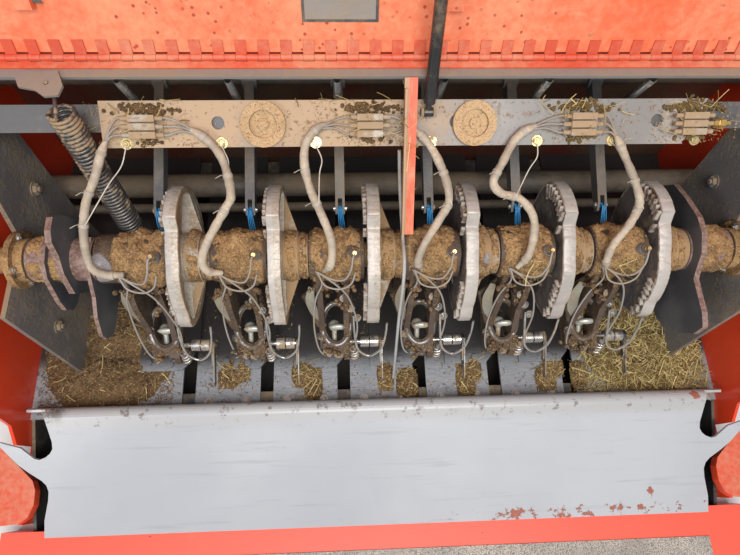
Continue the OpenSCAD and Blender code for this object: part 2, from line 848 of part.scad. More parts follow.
module large_spring() {
    d = (big_low - big_top) / norm(big_low - big_top);
    low = big_low - d * 34;
    bend_at = [big_hook[0], big_hook[1], top_bar_z - 7];
    // The lower hook comes down beside the ear and turns in through its hole
    beside = big_low - [ear_w / 2 + big_wire + 2, 0, 0];
    color("dimgray") {
        rod(big_top, low, big_r);
        rod([beside[0], low[1], low[2]] - 3 * d, beside, big_wire - 0.5);
        translate(beside) sphere(r = big_wire + 1);
        bar_x(beside[0], big_low[0] + ear_w / 2 + 1, [big_low[1], big_low[2]], big_wire);
        rod(big_top + d * 4, bend_at, big_wire - 0.5);
        translate(bend_at) sphere(r = big_wire + 1);
        rod(bend_at, bend_at + [0, 0, 7 + bracket_t + 1], big_wire);
    }
}

module spring_bracket() {
    outline = [[-652, 238], [-588, 238], [-575, 206], [-580, 186], [-604, 184], [-622, 198],
        [-650, 204], [-658, 222]];
    color("gray")
    translate([0, 0, top_bar_z])
    difference() {
        linear_extrude(bracket_t) polygon(outline);
        translate([big_hook[0], big_hook[1], -1]) cylinder(r = big_wire + seat, h = bracket_t + 2);
    }
}

module red_lever() {
    top = [224, top_bar_z + 2];
    low = [6, 612];
    color("crimson")
    translate([22, low[0], low[1]])
        rotate([-atan2(top[0] - low[0], top[1] - low[1]), 0, 0]) {
            cube([24, 5, norm(top - low)]);
            translate([0, -15, 0]) cube([4, 16, norm(top - low) - 18]);
        }
}

module cross_pipes() {
    color("dimgray") {
        bar_x(-half_w, half_w, [270, 350], 30);
        bar_x(-half_w, half_w, [232, 300], 12);
    }
}

// Twine arms on their shaft, each pulled up by its spring

module arm_shaft() {
    color("dimgray") {
        bar_x(-half_w, half_w, arm_pivot, arm_shaft_d / 2);
        for (k = [0:knotter_count])
            translate([knotter_x(k) - knotter_pitch / 2 - 4, arm_pivot[0], arm_pivot[1] - 20])
                cube([8, front_y - wall_t - arm_pivot[0], 40]);
    }
}

arm_dir = unit(arm_end - arm_pivot);
arm_up = [arm_dir[1], -arm_dir[0]];
function arm_pt(along, up) = arm_pivot + arm_dir * along + arm_up * up;
arm_len = norm(arm_end - arm_pivot);

module twine_arm(x) {
    h = arm_h / 2;
    color("dimgray")
    difference() {
        union() {
            side_profile(x - arm_w / 2, x + arm_w / 2)
                polygon([arm_pt(0, h), arm_pt(arm_len - 20, h * 0.8), arm_pt(arm_len, h * 0.3),
                    arm_pt(arm_len, -h * 0.6), arm_pt(arm_len - 60, -h), arm_pt(0, -h)]);
            bar_x(x - arm_w / 2 - 6, x + arm_w / 2 + 6, arm_pivot, arm_h / 2 + 4);
        }
        side_profile(x - arm_w / 2 + arm_t, x + arm_w / 2 - arm_t)
            polygon([arm_pt(30, h - arm_t), arm_pt(arm_len - 60, h * 0.8 - arm_t),
                arm_pt(arm_len - 60, -h - 1), arm_pt(30, -h - 1)]);
        side_profile(x - 5, x + 5)
            polygon([arm_pt(arm_len - 34, h + 2), arm_pt(arm_len + 1, h + 2),
                arm_pt(arm_len + 1, -h - 2), arm_pt(arm_len - 34, -h - 2)]);
        bar_x(x - 40, x + 40, arm_pivot, arm_shaft_d / 2 + run_gap);
    }
}

module arm_spring(x) {
    d = unit(spring_top - spring_eye);
    color("gray") {
        bar_yz(x, spring_eye + d * 22, spring_top - d * 22, spring_r);
        bar_yz(x, spring_eye, spring_eye + d * 23, 2);
        bar_yz(x, spring_top - d * 23, spring_top, 2);
    }
}

// Shaft with its six cam discs and the two end cams

shaft_x0 = -side_plate_x - 100;
shaft_x1 = side_plate_x + 60;
journal_r = 25;
journal_l = 60;

module knotter_shaft() {
    color("tan") {
        bar_x(shaft_x0 + journal_l, shaft_x1, [0, shaft_z], shaft_r);
        bar_x(shaft_x0, shaft_x0 + journal_l + 1, [0, shaft_z], journal_r);
    }
}

// Cam disc: outline as [angle from forward towards up, radius], two lobes and a waist between
disc_knots = [[22, 150], [28, 150], [39, 143], [50, 135], [61, 127], [72, 118], [76, 92], [90, 84],
    [105, 79], [120, 77], [130, 80], [140, 87], [155, 93], [170, 101], [181, 110], [192, 118],
    [200, 140], [208, 150]];
function disc_at(a) = lookup(a, disc_knots) * disc_r / 150;
disc_angles = concat([for (p = disc_knots) p[0]], [for (a = [214:6:376]) a]);
disc_outline = [for (a = disc_angles) disc_at(a) * [cos(a), sin(a)]];
rim_outline = [for (a = disc_angles) (disc_at(a) - disc_rim_t) * [cos(a), sin(a)]];
disc_hub_w = knotter_pitch + hub_x0 - disc_off - 2;
last_hub_w = 86;
disc_flange_w = 58;
gusset_t = 7;

// One tooth: a bar with rounded ends that lies along a radius, from r0 to r1
module tooth(a, r0, r1, w) {
    rotate(a) polygon(concat([for (t = [90:30:270]) [r0, 0] + w / 2 * [cos(t), sin(t)]],
        [for (t = [-90:30:90]) [r1, 0] + w / 2 * [cos(t), sin(t)]]));
}

module cam_disc(x, hub_w) {
    translate([x, 0, shaft_z]) rotate([90, 0, 90])
    difference() {
        union() {
            difference() {
                linear_extrude(disc_rim_w) polygon(disc_outline);
                translate([0, 0, disc_web_t]) linear_extrude(disc_rim_w) polygon(rim_outline);
            }
            translate([0, 0, 1]) cylinder(r = disc_hub_r, h = hub_w - 1);
            translate([0, 0, 2]) cylinder(r = disc_hub_r + 6, h = disc_flange_w - 2);
            for (i = [0:6])
                rotate([0, 0, 216 + 26 * i]) rotate([90, 0, 0])
                    translate([0, 0, -gusset_t / 2]) linear_extrude(gusset_t)
                    polygon([[disc_hub_r - 6, disc_web_t - 2], [disc_r - 6, disc_web_t - 2],
                        [disc_r - 9, disc_rim_w - 3], [disc_hub_r + 5, disc_flange_w - 3],
                        [disc_hub_r - 6, disc_flange_w - 3]]);
            translate([0, 0, -8]) linear_extrude(10) {
                for (i = [0:disc_teeth - 1]) {
                    a = 24 + 6.5 * i;
                    tooth(a, min(116, disc_at(a) - 26), disc_at(a) - 8, 7);
                }
                for (i = [0:6]) {
                    a = 165 + 7.5 * i;
                    tooth(a, disc_at(a) - 20, disc_at(a) - 7, 6);
                }
            }
        }
        translate([0, 0, -10]) cylinder(r = shaft_r, h = hub_w + 20);
        rotate([0, 0, 250]) translate([96, 0, -10]) cylinder(r = 7.5, h = 40);
    }
}

module cam_discs() {
    color("tan")
    for (k = [0:knotter_count - 1])
        cam_disc(knotter_x(k) + disc_off, k == knotter_count - 1 ? last_hub_w : disc_hub_w);
}

// End cams: plates cut to shape on hubs at both ends of the shaft, as [y, z] from its axis
end_cam_x = side_plate_x - end_cam_inset;
trip_x = -end_cam_x - 40;
blade_x = -end_cam_x + 40;
hub_end = side_plate_x - 35;
first_gap = 6;
function polar(table) = [for (p = table) p[1] * [cos(p[0]), sin(p[0])]];
right_cam = polar([[-3, 163], [13, 146], [32, 110], [65, 89], [88, 82], [119, 75], [151, 72],
    [165, 80], [170, 119], [172, 153], [176, 181], [187, 187], [212, 190], [231, 188], [250, 168],
    [272, 150], [295, 146], [320, 152], [340, 162]]);
left_cam = polar([[-2, 73], [20, 77], [49, 96], [62, 114], [74, 131], [86, 126], [96, 115],
    [108, 86], [135, 74], [165, 69], [182, 75], [209, 72], [232, 82], [259, 94], [285, 92],
    [310, 84], [335, 76]]);
blade = [[30, 44], [-40, 30], [-81, -12], [-118, -33], [-149, -69], [-149, -96], [-128, -124],
    [-91, -130], [-45, -122], [20, -60]];
trip = [[60, 0], [52, 30], [30, 52], [0, 60], [-30, 54], [-54, 34], [-68, 4], [-84, -30],
    [-92, -60], [-84, -88], [-62, -104], [-34, -106], [-8, -92], [24, -62], [50, -34]];

module cam_plate(x, t, outline) {
    side_profile(x - t / 2, x + t / 2) difference() {
        translate([0, shaft_z]) polygon(outline);
        translate([0, shaft_z]) circle(r = shaft_r);
    }
}

module cam_hub(x0, x1) {
    difference() {
        bar_x(x0, x1, [0, shaft_z], disc_hub_r);
        bar_x(x0 - 1, x1 + 1, [0, shaft_z], shaft_r);
    }
}

module end_cams() {
    color("dimgray") {
        cam_hub(-hub_end, knotter_x(0) + first_hub_x0 - first_gap);
        cam_plate(trip_x, 10, trip);
        cam_plate(-end_cam_x, end_cam_t, left_cam);
        cam_plate(blade_x, 8, blade);
        cam_hub(knotter_x(knotter_count - 1) + disc_off + last_hub_w + 2, hub_end);
        cam_plate(end_cam_x, end_cam_t, right_cam);
    }
}

base_sills();
base_tray();
cross_beams();
deck_strips();
rear_plate();
step();
step_grip();
side_wall_left();
side_wall_right();
side_covers();
front_panel();
roof_panel();
side_plate_left();
side_plate_right();
crossbeam();
carrier_plate();
top_bar();
hinge_leaf_fixed();
shaft_bearings();
knotter_frames();
base_plates();
twine_rollers();
bill_hooks();
stripper_springs();
twine_fingers();
grease_blocks();
hose_bundles();
cover_caps();
large_spring();
spring_bracket();
strut_bracket();
red_lever();
cross_pipes();
arm_shaft();
knotter_shaft();
cam_discs();
end_cams();
hood_shell();
hood_ribs();
hinge_leaf_hood();
strut_tube();
strut_rod();
for (k = [1:knotter_count])
    twine_arm(knotter_x(k - 1));
for (k = [1:knotter_count])
    arm_spring(knotter_x(k - 1));
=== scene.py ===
import bpy
import numpy as np
from mathutils import Matrix, Vector


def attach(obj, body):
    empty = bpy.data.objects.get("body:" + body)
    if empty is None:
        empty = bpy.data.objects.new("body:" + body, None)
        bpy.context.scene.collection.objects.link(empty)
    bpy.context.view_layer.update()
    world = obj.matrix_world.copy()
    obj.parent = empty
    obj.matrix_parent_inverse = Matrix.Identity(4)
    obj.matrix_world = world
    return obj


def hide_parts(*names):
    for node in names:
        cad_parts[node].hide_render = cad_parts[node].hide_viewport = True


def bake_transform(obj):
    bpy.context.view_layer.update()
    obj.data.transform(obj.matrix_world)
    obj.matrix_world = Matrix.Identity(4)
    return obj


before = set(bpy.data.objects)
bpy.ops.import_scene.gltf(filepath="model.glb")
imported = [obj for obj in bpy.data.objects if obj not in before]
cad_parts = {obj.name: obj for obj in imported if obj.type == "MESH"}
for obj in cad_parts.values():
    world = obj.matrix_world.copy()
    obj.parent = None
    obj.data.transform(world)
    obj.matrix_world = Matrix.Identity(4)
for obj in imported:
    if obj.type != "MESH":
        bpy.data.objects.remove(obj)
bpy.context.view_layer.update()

# Camera. It stands over the step and looks down into the open bay, a little to the right
# and slightly rolled, with a wide lens.
eye = Vector((-0.094, -0.451, 1.629))
gaze = Vector((0.0465, 0.3388, -0.9397))
crown = Vector((0.0189, 0.9402, 0.3400))
FOCAL_SHARE = 556 / 740
SENSOR_W = 36.0

camera = bpy.data.objects.new("camera", bpy.data.cameras.new("camera"))
bpy.context.scene.collection.objects.link(camera)
camera_side = gaze.cross(crown).normalized()
camera_turn = Matrix((camera_side, camera_side.cross(gaze).normalized(), -gaze)).transposed()
camera.matrix_world = Matrix.Translation(eye) @ camera_turn.to_4x4()
camera.data.sensor_width = SENSOR_W
camera.data.lens = SENSOR_W * FOCAL_SHARE
camera.data.clip_start = 0.01
bpy.context.scene.camera = camera

# Studio light. One broad softbox over the step stands for an overcast sky, a smaller one
# from the rear left gives the edges a light side, and a pale surround fills the shadows.
bpy.context.scene.view_settings.view_transform = "Standard"


def softbox(name, at, aim, size, power):
    """A square area light that faces from one point to another."""
    lamp = bpy.data.lights.new(name, "AREA")
    lamp.size = size
    lamp.energy = power
    box = bpy.data.objects.new(name, lamp)
    box.location = at
    box.rotation_euler = (Vector(aim) - Vector(at)).to_track_quat("-Z", "Y").to_euler()
    box.visible_camera = False
    bpy.context.scene.collection.objects.link(box)


softbox("sky_box", (0.2, -1.7, 3.7), (0.0, 0.05, 0.5), 2.2, 158.0)
softbox("side_box", (-2.6, -2.4, 2.8), (0.0, 0.0, 0.6), 1.0, 42.0)

surround = bpy.data.worlds.new("surround")
surround.use_nodes = True
surround.node_tree.nodes["Background"].inputs["Color"].default_value = (0.90, 0.95, 1.0, 1.0)
surround.node_tree.nodes["Background"].inputs["Strength"].default_value = 0.35
bpy.context.scene.world = surround

# Floor. A plain pale sheet under the base; every finish below is a node material made the
# same way, with its sums written as expressions.


class Wire:
    """The output of a shader node, with the sums that the finishes are written in."""

    def __init__(self, finish, socket):
        self.finish = finish
        self.socket = socket

    def sum(self, operation, first, second):
        settings = {"operation": operation}
        return self.finish.node("ShaderNodeMath", settings, {0: first, 1: second})

    def __add__(self, other):
        return self.sum("ADD", self, other)

    def __radd__(self, other):
        return self.sum("ADD", other, self)

    def __sub__(self, other):
        return self.sum("SUBTRACT", self, other)

    def __rsub__(self, other):
        return self.sum("SUBTRACT", other, self)

    def __mul__(self, other):
        return self.sum("MULTIPLY", self, other)

    def __rmul__(self, other):
        return self.sum("MULTIPLY", other, self)

    def __truediv__(self, other):
        return self.sum("DIVIDE", self, other)

    def __pow__(self, other):
        return self.sum("POWER", self, other)


class Finish:
    """A material built from nodes: node() adds one, and the rest are short ways to call it."""

    def __init__(self, name):
        self.material = bpy.data.materials.new(name)
        self.material.use_nodes = True
        self.tree = self.material.node_tree
        self.shader = self.tree.nodes["Principled BSDF"]

    def put(self, socket, value):
        if isinstance(value, Wire):
            self.tree.links.new(value.socket, socket)
        elif isinstance(value, tuple) and len(value) == 3 and socket.type == "RGBA":
            socket.default_value = (*value, 1.0)
        else:
            socket.default_value = value

    def node(self, kind, settings=None, sockets=None, out=0):
        made = self.tree.nodes.new(kind)
        for key, value in (settings or {}).items():
            if key == "stops":
                ramp = made.color_ramp
                while len(ramp.elements) < len(value):
                    ramp.elements.new(0.5)
                for element, (at, tone) in zip(ramp.elements, value):
                    element.position = at
                    element.color = (*tone, 1.0)
            else:
                setattr(made, key, value)
        for key, value in (sockets or {}).items():
            self.put(made.inputs[key], value)
        return Wire(self, made.outputs[out])

    def place(self, stretch=(1.0, 1.0, 1.0), turn=(0.0, 0.0, 0.0)):
        here = self.node("ShaderNodeTexCoord", out="Object")
        return self.node("ShaderNodeMapping", None,
                         {"Vector": here, "Scale": stretch, "Rotation": turn})

    def along(self, axis):
        here = self.node("ShaderNodeTexCoord", out="Object")
        return self.node("ShaderNodeSeparateXYZ", None, {0: here}, axis)

    def noise(self, where, scale, detail=4.0, rough=0.55):
        sockets = {"Vector": where, "Scale": scale, "Detail": detail, "Roughness": rough}
        return self.node("ShaderNodeTexNoise", None, sockets, "Fac")

    def facing(self, axis=2):
        normal = self.node("ShaderNodeTexCoord", out="Normal")
        return self.node("ShaderNodeSeparateXYZ", None, {0: normal}, axis)

    def near(self, spot, reach, size=(1.0, 1.0, 1.0)):
        """1 at a spot and 0 from its reach on, with the distance scaled by a size."""
        here = self.place(tuple(1.0 / s for s in size))
        centre = tuple(p / s for p, s in zip(spot, size))
        settings = {"operation": "DISTANCE"}
        gap = self.node("ShaderNodeVectorMath", settings, {0: here, 1: centre}, "Value")
        return 1.0 - self.step(gap, 0.0, reach)

    def step(self, value, low, high):
        """0 below low, 1 above high, and a smooth curve between them."""
        sockets = {"Value": value, "From Min": low, "From Max": high}
        return self.node("ShaderNodeMapRange", {"interpolation_type": "SMOOTHSTEP"}, sockets)

    def mix(self, first, second, share):
        return self.node("ShaderNodeMix", {"data_type": "RGBA"}, {0: share, 6: first, 7: second}, 2)

    def bump(self, height, depth, below=None):
        sockets = {"Height": height, "Distance": depth, "Strength": 1.0}
        if below:
            sockets["Normal"] = below
        return self.node("ShaderNodeBump", None, sockets)

    def shade(self, **sockets):
        for key, value in sockets.items():
            self.put(self.shader.inputs[key.replace("_", " ")], value)
        return self.material


def plain_floor():
    finish = Finish("pale_floor")
    mottle = finish.noise(finish.place(), 3.0)
    tone = finish.mix((0.60, 0.59, 0.57), (0.66, 0.65, 0.63), mottle)
    return finish.shade(Base_Color=tone, Roughness=0.85)


def mesh_piece(name, points, faces, material, smooth=30.0):
    """Mesh object from an array of points and an array of faces with equal corner counts;
    edges sharper than the given angle in degrees stay sharp."""
    points = np.asarray(points, np.float32).reshape(-1, 3)
    faces = np.asarray(faces, np.int32)
    corners = faces.shape[1]
    mesh = bpy.data.meshes.new(name)
    mesh.vertices.add(len(points))
    mesh.vertices.foreach_set("co", points.ravel())
    mesh.loops.add(faces.size)
    mesh.loops.foreach_set("vertex_index", faces.ravel())
    mesh.polygons.add(len(faces))
    mesh.polygons.foreach_set("loop_start", np.arange(0, faces.size, corners, dtype=np.int32))
    mesh.update(calc_edges=True)
    mesh.validate()
    mesh.shade_smooth()
    mesh.set_sharp_from_angle(angle=np.radians(smooth))
    mesh.materials.append(material)
    piece = bpy.data.objects.new(name, mesh)
    bpy.context.scene.collection.objects.link(piece)
    return piece


FLOOR_HALF = 9.0
floor_corners = FLOOR_HALF * np.array([(-1, -1, 0), (1, -1, 0), (1, 1, 0), (-1, 1, 0)])
mesh_piece("floor", floor_corners, [(0, 1, 2, 3)], plain_floor())

# Base. Two channel sills and two square tubes, black from the paint line and dulled by field
# dust, and the tray of the bale chamber's roof, near black with dark dust as painted shade
# below the deck.
DUST = (0.30, 0.215, 0.125)
BLACK = (0.030, 0.029, 0.030)
RUST = (0.16, 0.055, 0.022)


def painted(name, coat, dust=DUST, cover=0.0, shine=0.42, chips=0.0, bare=RUST, fine_scale=70.0,
            grime=0.0):
    """Paint with a film of dust and chipped spots. The film thickens where a broad noise and
    a fine one are high and where the face looks up; chips open where a third noise peaks;
    grime is the share of dark brown streaks."""
    finish = Finish(name)
    place = finish.place()
    broad = finish.noise(place, 5.0, 5.0)
    fine = finish.noise(place, fine_scale, 6.0, 0.65)
    film = finish.step(broad * 0.9 + fine * 0.6 + finish.facing() * 0.18 + cover, 0.66, 1.20)
    aged = finish.mix(coat, tuple(0.72 * c + 0.02 for c in coat), finish.noise(place, 14.0, 3.0))
    tone = finish.mix(aged, dust, film)
    if grime:
        streak = finish.noise(finish.place((1.0, 0.45, 0.45)), 24.0, 7.0, 0.72)
        tone = finish.mix(tone, (0.075, 0.040, 0.020), finish.step(streak + broad * 0.3, 0.70, 0.86)
                          * grime)
    rough = shine + film * 0.45
    height = fine * 0.6 + film
    if chips:
        flaw = finish.noise(place, 38.0, 8.0, 0.7) + finish.noise(place, 9.0, 2.0) * 0.35
        gap = finish.step(flaw, 0.93 - chips, 0.95 - chips)
        tone = finish.mix(tone, bare, gap)
        rough = rough + gap * 0.2
        height = height - gap
    normal = finish.bump(height, 0.0006)
    return finish.shade(Base_Color=tone, Roughness=rough, Normal=normal)


def dress(node, material):
    """Gives every material slot of a node of the frame one finish."""
    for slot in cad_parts[node].material_slots:
        slot.material = material


black_paint = painted("black_paint", BLACK, cover=-0.1)
for node in ("base_sills", "cross_beams"):
    dress(node, black_paint)
# The tray's near-black colour and its dark dust are painted shade below the deck.
dress("base_tray", painted("tray_painted_shade", (0.012, 0.010, 0.009), dust=(0.05, 0.032, 0.018)))

# Deck. Sheet steel strips with the needle slots between them and a bolted base plate under
# each knotter, worn to bare grey where the straw rubs, and painted near black from under the
# knotters forward as painted shade.
DECK_Z = 0.160
SLOT_PITCH = 0.200
SLOTS = 6
knotter_x = (np.arange(SLOTS) - (SLOTS - 1) / 2) * SLOT_PITCH
STEEL_GREY = (0.205, 0.210, 0.225)


def deck_finish():
    finish = Finish("deck_steel")
    place = finish.place()
    broad = finish.noise(place, 7.0, 5.0, 0.6)
    fine = finish.noise(place, 120.0, 6.0, 0.7)
    scratch = finish.noise(finish.place((1.0, 9.0, 1.0)), 60.0, 3.0)
    # ahead is the deck from under the knotters forward, which the last mix paints near black as
    # painted shade.
    ahead = finish.step(finish.along(1), -0.185, -0.125)
    tone = finish.mix(STEEL_GREY, (0.29, 0.29, 0.30), finish.step(scratch + broad * 0.4, 0.6, 0.9))
    film = finish.step(broad + fine * 0.5, 0.84, 1.06)
    tone = finish.mix(tone, (0.200, 0.125, 0.062), film * 0.8)
    speck = finish.step(fine + finish.noise(place, 26.0, 4.0) * 0.4, 0.80, 0.84)
    tone = finish.mix(tone, (0.06, 0.034, 0.018), speck * 0.8)
    # Painted shade: the deck ahead turns near black.
    tone = finish.mix(tone, (0.016, 0.012, 0.010), ahead * 0.95)
    return finish.shade(Base_Color=tone, Roughness=0.42 + film * 0.4,
                        Normal=finish.bump(film + fine * 0.5, 0.0008))


deck_steel = deck_finish()
dress("deck_strips", deck_steel)
dress("base_plates", deck_steel)


def grid_index(rows, columns, around=False, closed=False):
    """Indices of a grid of points; around repeats the first column at the end, and closed
    the first row."""
    index = np.arange(rows * columns).reshape(rows, columns)
    if around:
        index = np.concatenate([index, index[:, :1]], axis=1)
    if closed:
        index = np.concatenate([index, index[:1]])
    return index


def cells(index):
    """Triangles of a grid of indices, two to each cell."""
    a, b = index[:-1, :-1].ravel(), index[:-1, 1:].ravel()
    c, d = index[1:, 1:].ravel(), index[1:, :-1].ravel()
    return np.concatenate([np.stack([a, b, c], 1), np.stack([a, c, d], 1)])


def outward(points, faces):
    """The faces of a closed mesh, turned over if the volume that they enclose is negative."""
    corners = np.asarray(points)[faces]
    volume = (corners[:, 0] * np.cross(corners[:, 1], corners[:, 2])).sum()
    return faces if volume > 0 else faces[:, ::-1]


def sweep(paths, radius, sides=6, flat=1.0):
    """Tubes along paths, an array of tubes by points by 3. Each ring is the path's point plus
    the radius times the cosine and sine of the side's angle along two axes square to the
    path; the ends are closed by fans. Radius is one number or an array of tubes by points."""
    paths = np.asarray(paths, float)
    count, length = paths.shape[:2]
    along = np.gradient(paths, axis=1)
    along /= np.linalg.norm(along, axis=2, keepdims=True) + 1e-12
    trial = np.array([(1, 0, 0), (0, 1, 0), (0, 0, 1), (0.6, 0.8, 0), (0.8, 0, 0.6),
                      (0, 0.6, 0.8), (-0.8, 0.6, 0), (-0.6, 0, 0.8), (0, -0.8, 0.6)], float)
    lean = np.abs(np.einsum("npk,tk->tnp", along, trial)).max(axis=2)
    best = trial[np.argmin(lean, axis=0)][:, None, :]
    first = np.cross(along, best)
    first /= np.linalg.norm(first, axis=2, keepdims=True)
    second = np.cross(along, first)
    turn = np.arange(sides) * 2 * np.pi / sides
    size = np.asarray(radius, float)
    size = np.broadcast_to(size[:, None] if size.ndim == 1 else size, (count, length))
    size = size[..., None, None]
    rings = paths[:, :, None] + size * (np.cos(turn)[:, None] * first[:, :, None]
                                        + flat * np.sin(turn)[:, None] * second[:, :, None])
    block = length * sides
    points = np.concatenate([rings.reshape(count, block, 3), paths[:, [0, -1]]], axis=1)
    # The first axis, the second and the path turn left-handed, so the cells are reversed.
    wall = cells(grid_index(length, sides, around=True))
    edge = np.arange(sides)
    after = (edge + 1) % sides
    last = block - sides
    start = np.stack([np.full(sides, block), edge, after], 1)
    stop = np.stack([np.full(sides, block + 1), last + after, last + edge], 1)
    faces = np.concatenate([wall, start, stop])
    shift = (np.arange(count) * (block + 2))[:, None, None]
    return points.reshape(-1, 3), (faces[None] + shift).reshape(-1, 3)


def merged(*parts):
    """One mesh's points and faces from several."""
    sizes = np.cumsum([0] + [len(points) for points, faces in parts])
    return (np.concatenate([points for points, faces in parts]),
            np.concatenate([faces + start for start, (points, faces) in zip(sizes, parts)]))


def stacked(spots, up, heights, radii, sides):
    """Turned pieces: at each spot, rings of the given radii at the given heights along up."""
    up = np.asarray(up, float) / np.linalg.norm(up)
    paths = np.asarray(spots, float)[:, None] + np.asarray(heights)[None, :, None] * up
    return sweep(paths, np.broadcast_to(radii, paths.shape[:2]), sides=sides)


def bolts(spots, up, size):
    """Hexagon bolt heads with washers, size being half the width across the corners."""
    washer = stacked(spots, up, [-0.001, 0.0016], [1.35 * size] * 2, 20)
    head = stacked(spots, up, [0.0, 0.62 * size, 0.74 * size], [size, size, 0.84 * size], 6)
    tip = stacked(spots, up, [0.0, 0.95 * size, 1.05 * size], [0.5 * size, 0.5 * size, 0.4 * size],
                  14)
    return merged(washer, head, tip)


def rubbed_steel(name, bright, dust=DUST, cover=0.0, rough=0.3, metal=0.85):
    """Steel that its work keeps bright, with dust and a little rust where nothing rubs."""
    finish = Finish(name)
    place = finish.place()
    patch = finish.noise(place, 55.0, 6.0, 0.65)
    film = finish.step(patch + finish.noise(place, 12.0, 3.0) * 0.6 + cover, 0.78, 0.95)
    tone = finish.mix(bright, dust, film)
    tone = finish.mix(tone, RUST, finish.step(finish.noise(place, 110.0, 5.0), 0.63, 0.70) * 0.6)
    return finish.shade(Base_Color=tone, Roughness=rough + film * 0.5, Metallic=metal - film * 0.8,
                        Normal=finish.bump(patch, 0.0004))


bolt_steel = rubbed_steel("bolt_steel", (0.42, 0.40, 0.37), cover=0.02)
DECK_BOLTS = [(dx, y) for dx in (0.052, 0.148) for y in (-0.255, 0.30)]
deck_spots = [(x + dx, y, DECK_Z) for x in knotter_x for dx, y in DECK_BOLTS]
deck_bolts = mesh_piece("deck_bolts", *bolts(deck_spots, (0, 0, 1), 0.008), bolt_steel)
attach(deck_bolts, "frame")

# Chaff on the deck. Heaps of fine brown chaff lie in the rear corners and beside the
# knotters' blades, with flakes and loose stalks of straw on top of them.
CHAFF = (0.150, 0.085, 0.034)
STRAW = (0.50, 0.35, 0.13)
HEAP_SINK = 0.0015
FLAKE = 0.012
STALK = 0.052
draw = np.random.default_rng(41)


def ripple(points, scale, seed, waves=24):
    """Smooth noise from -1 to 1: the mean of sine waves whose directions and phases are drawn
    from the seed, with the wave length that the scale gives in metres."""
    rng = np.random.default_rng(seed)
    ways = rng.normal(size=(waves, 3))
    ways *= rng.uniform(0.5, 1.6, (waves, 1)) / np.linalg.norm(ways, axis=1, keepdims=True)
    phases = rng.uniform(0, 2 * np.pi, waves)
    angle = np.asarray(points) @ ways.T * (2 * np.pi / scale) + phases
    return np.sin(angle).sum(axis=-1) / np.sqrt(waves / 2) * 0.5


def stalks(centres, length, lift=0.002, lean=0.16, thick=0.0007, spread=np.pi):
    """Loose stalks as thin bent prisms: each runs from its centre both ways at a random
    bearing, rises or falls by its lean, and bows sideways in a parabola."""
    count = len(centres)
    bearing = draw.uniform(-spread, spread, count)
    run = length * draw.uniform(0.25, 1.0, count) ** 1.4
    rise = draw.normal(0, lean, count)
    bow = draw.normal(0, 0.05, count) * run
    t = np.linspace(-0.5, 0.5, 4)
    ahead = np.stack([np.cos(bearing), np.sin(bearing), rise], 1)
    across = np.stack([-np.sin(bearing), np.cos(bearing), draw.normal(0, 0.4, count)], 1)
    paths = (centres[:, None] + ahead[:, None] * (run[:, None] * t)[..., None]
             + across[:, None] * (bow[:, None] * (1 - 4 * t * t))[..., None])
    paths[..., 2] += lift + np.abs(rise * run)[:, None] / 2
    return sweep(paths, thick * draw.uniform(0.6, 1.6, count), sides=4, flat=0.45)


def flakes(centres, normals, length, width=0.2):
    """Bits of chaff as thin four-cornered slivers: two tips along a random direction on the
    surface, and two corners across it, one of them raised along the normal."""
    count = len(centres)
    guess = draw.normal(size=(count, 3))
    ahead = guess - normals * (guess * normals).sum(1, keepdims=True)
    ahead /= np.linalg.norm(ahead, axis=1, keepdims=True)
    across = np.cross(normals, ahead)
    run = (length * draw.uniform(0.3, 1.0, count) / 2)[:, None]
    tilt = draw.normal(0, 0.25, (count, 1)) * run * normals
    middle = centres + 0.10 * run * normals
    points = np.stack([middle - ahead * run - tilt, middle + ahead * run + tilt,
                       middle + across * run * width, middle - across * run * width
                       + normals * run * width], 1)
    corners = np.array([(0, 2, 1), (0, 1, 3), (0, 3, 2), (1, 2, 3)])
    faces = corners[None] + (np.arange(count) * 4)[:, None, None]
    sides = points[:, 1:] - points[:, :1]
    wrong = (sides[:, 0] * np.cross(sides[:, 1], sides[:, 2])).sum(1) > 0
    faces[wrong] = faces[wrong][:, :, ::-1]
    return points.reshape(-1, 3), faces.reshape(-1, 3)


def add_tone(piece, tones):
    """One tone from 0 to 1 for each of the piece's like parts, as an attribute of its points."""
    tones = np.repeat(tones, len(piece.data.vertices) // len(tones))
    field = piece.data.attributes.new("tone", "FLOAT", "POINT")
    field.data.foreach_set("value", tones.astype(np.float32))


def chaff_finish():
    finish = Finish("brown_chaff")
    place = finish.place()
    fleck = finish.noise(place, 260.0, 3.0, 0.8)
    clump = finish.noise(place, 24.0, 5.0, 0.7)
    right = finish.step(finish.along(0), -0.2, 0.5)
    tone = finish.mix((0.050, 0.024, 0.010), CHAFF, finish.step(clump, 0.3, 0.65))
    tone = finish.mix(tone, (0.155, 0.105, 0.030), right * 0.6)
    tone = finish.mix(tone, (0.27, 0.17, 0.065), finish.step(fleck, 0.52, 0.66))
    tone = finish.mix(tone, STRAW, finish.step(finish.noise(place, 150.0, 2.0), 0.66, 0.70))
    normal = finish.bump(fleck + clump * 2.0, 0.004)
    return finish.shade(Base_Color=tone, Roughness=0.95, Normal=normal)


def straw_finish(name, stops):
    """Straw whose tone comes from the attribute of each stalk or flake."""
    finish = Finish(name)
    tone = finish.node("ShaderNodeAttribute", {"attribute_name": "tone"}, out="Fac")
    colour = finish.node("ShaderNodeValToRGB", {"stops": stops}, {0: tone})
    return finish.shade(Base_Color=colour, Roughness=0.6)


chaff = chaff_finish()
straw = straw_finish("loose_straw", [(0.0, (0.17, 0.110, 0.032)), (0.5, (0.34, 0.25, 0.080)),
                                     (1.0, (0.66, 0.52, 0.24))])
flake_tones = [(0.0, (0.060, 0.030, 0.012)), (0.35, (0.150, 0.085, 0.032)),
               (0.7, (0.30, 0.185, 0.070)), (1.0, (0.58, 0.42, 0.18))]
flake_straw = straw_finish("chaff_flakes", flake_tones)


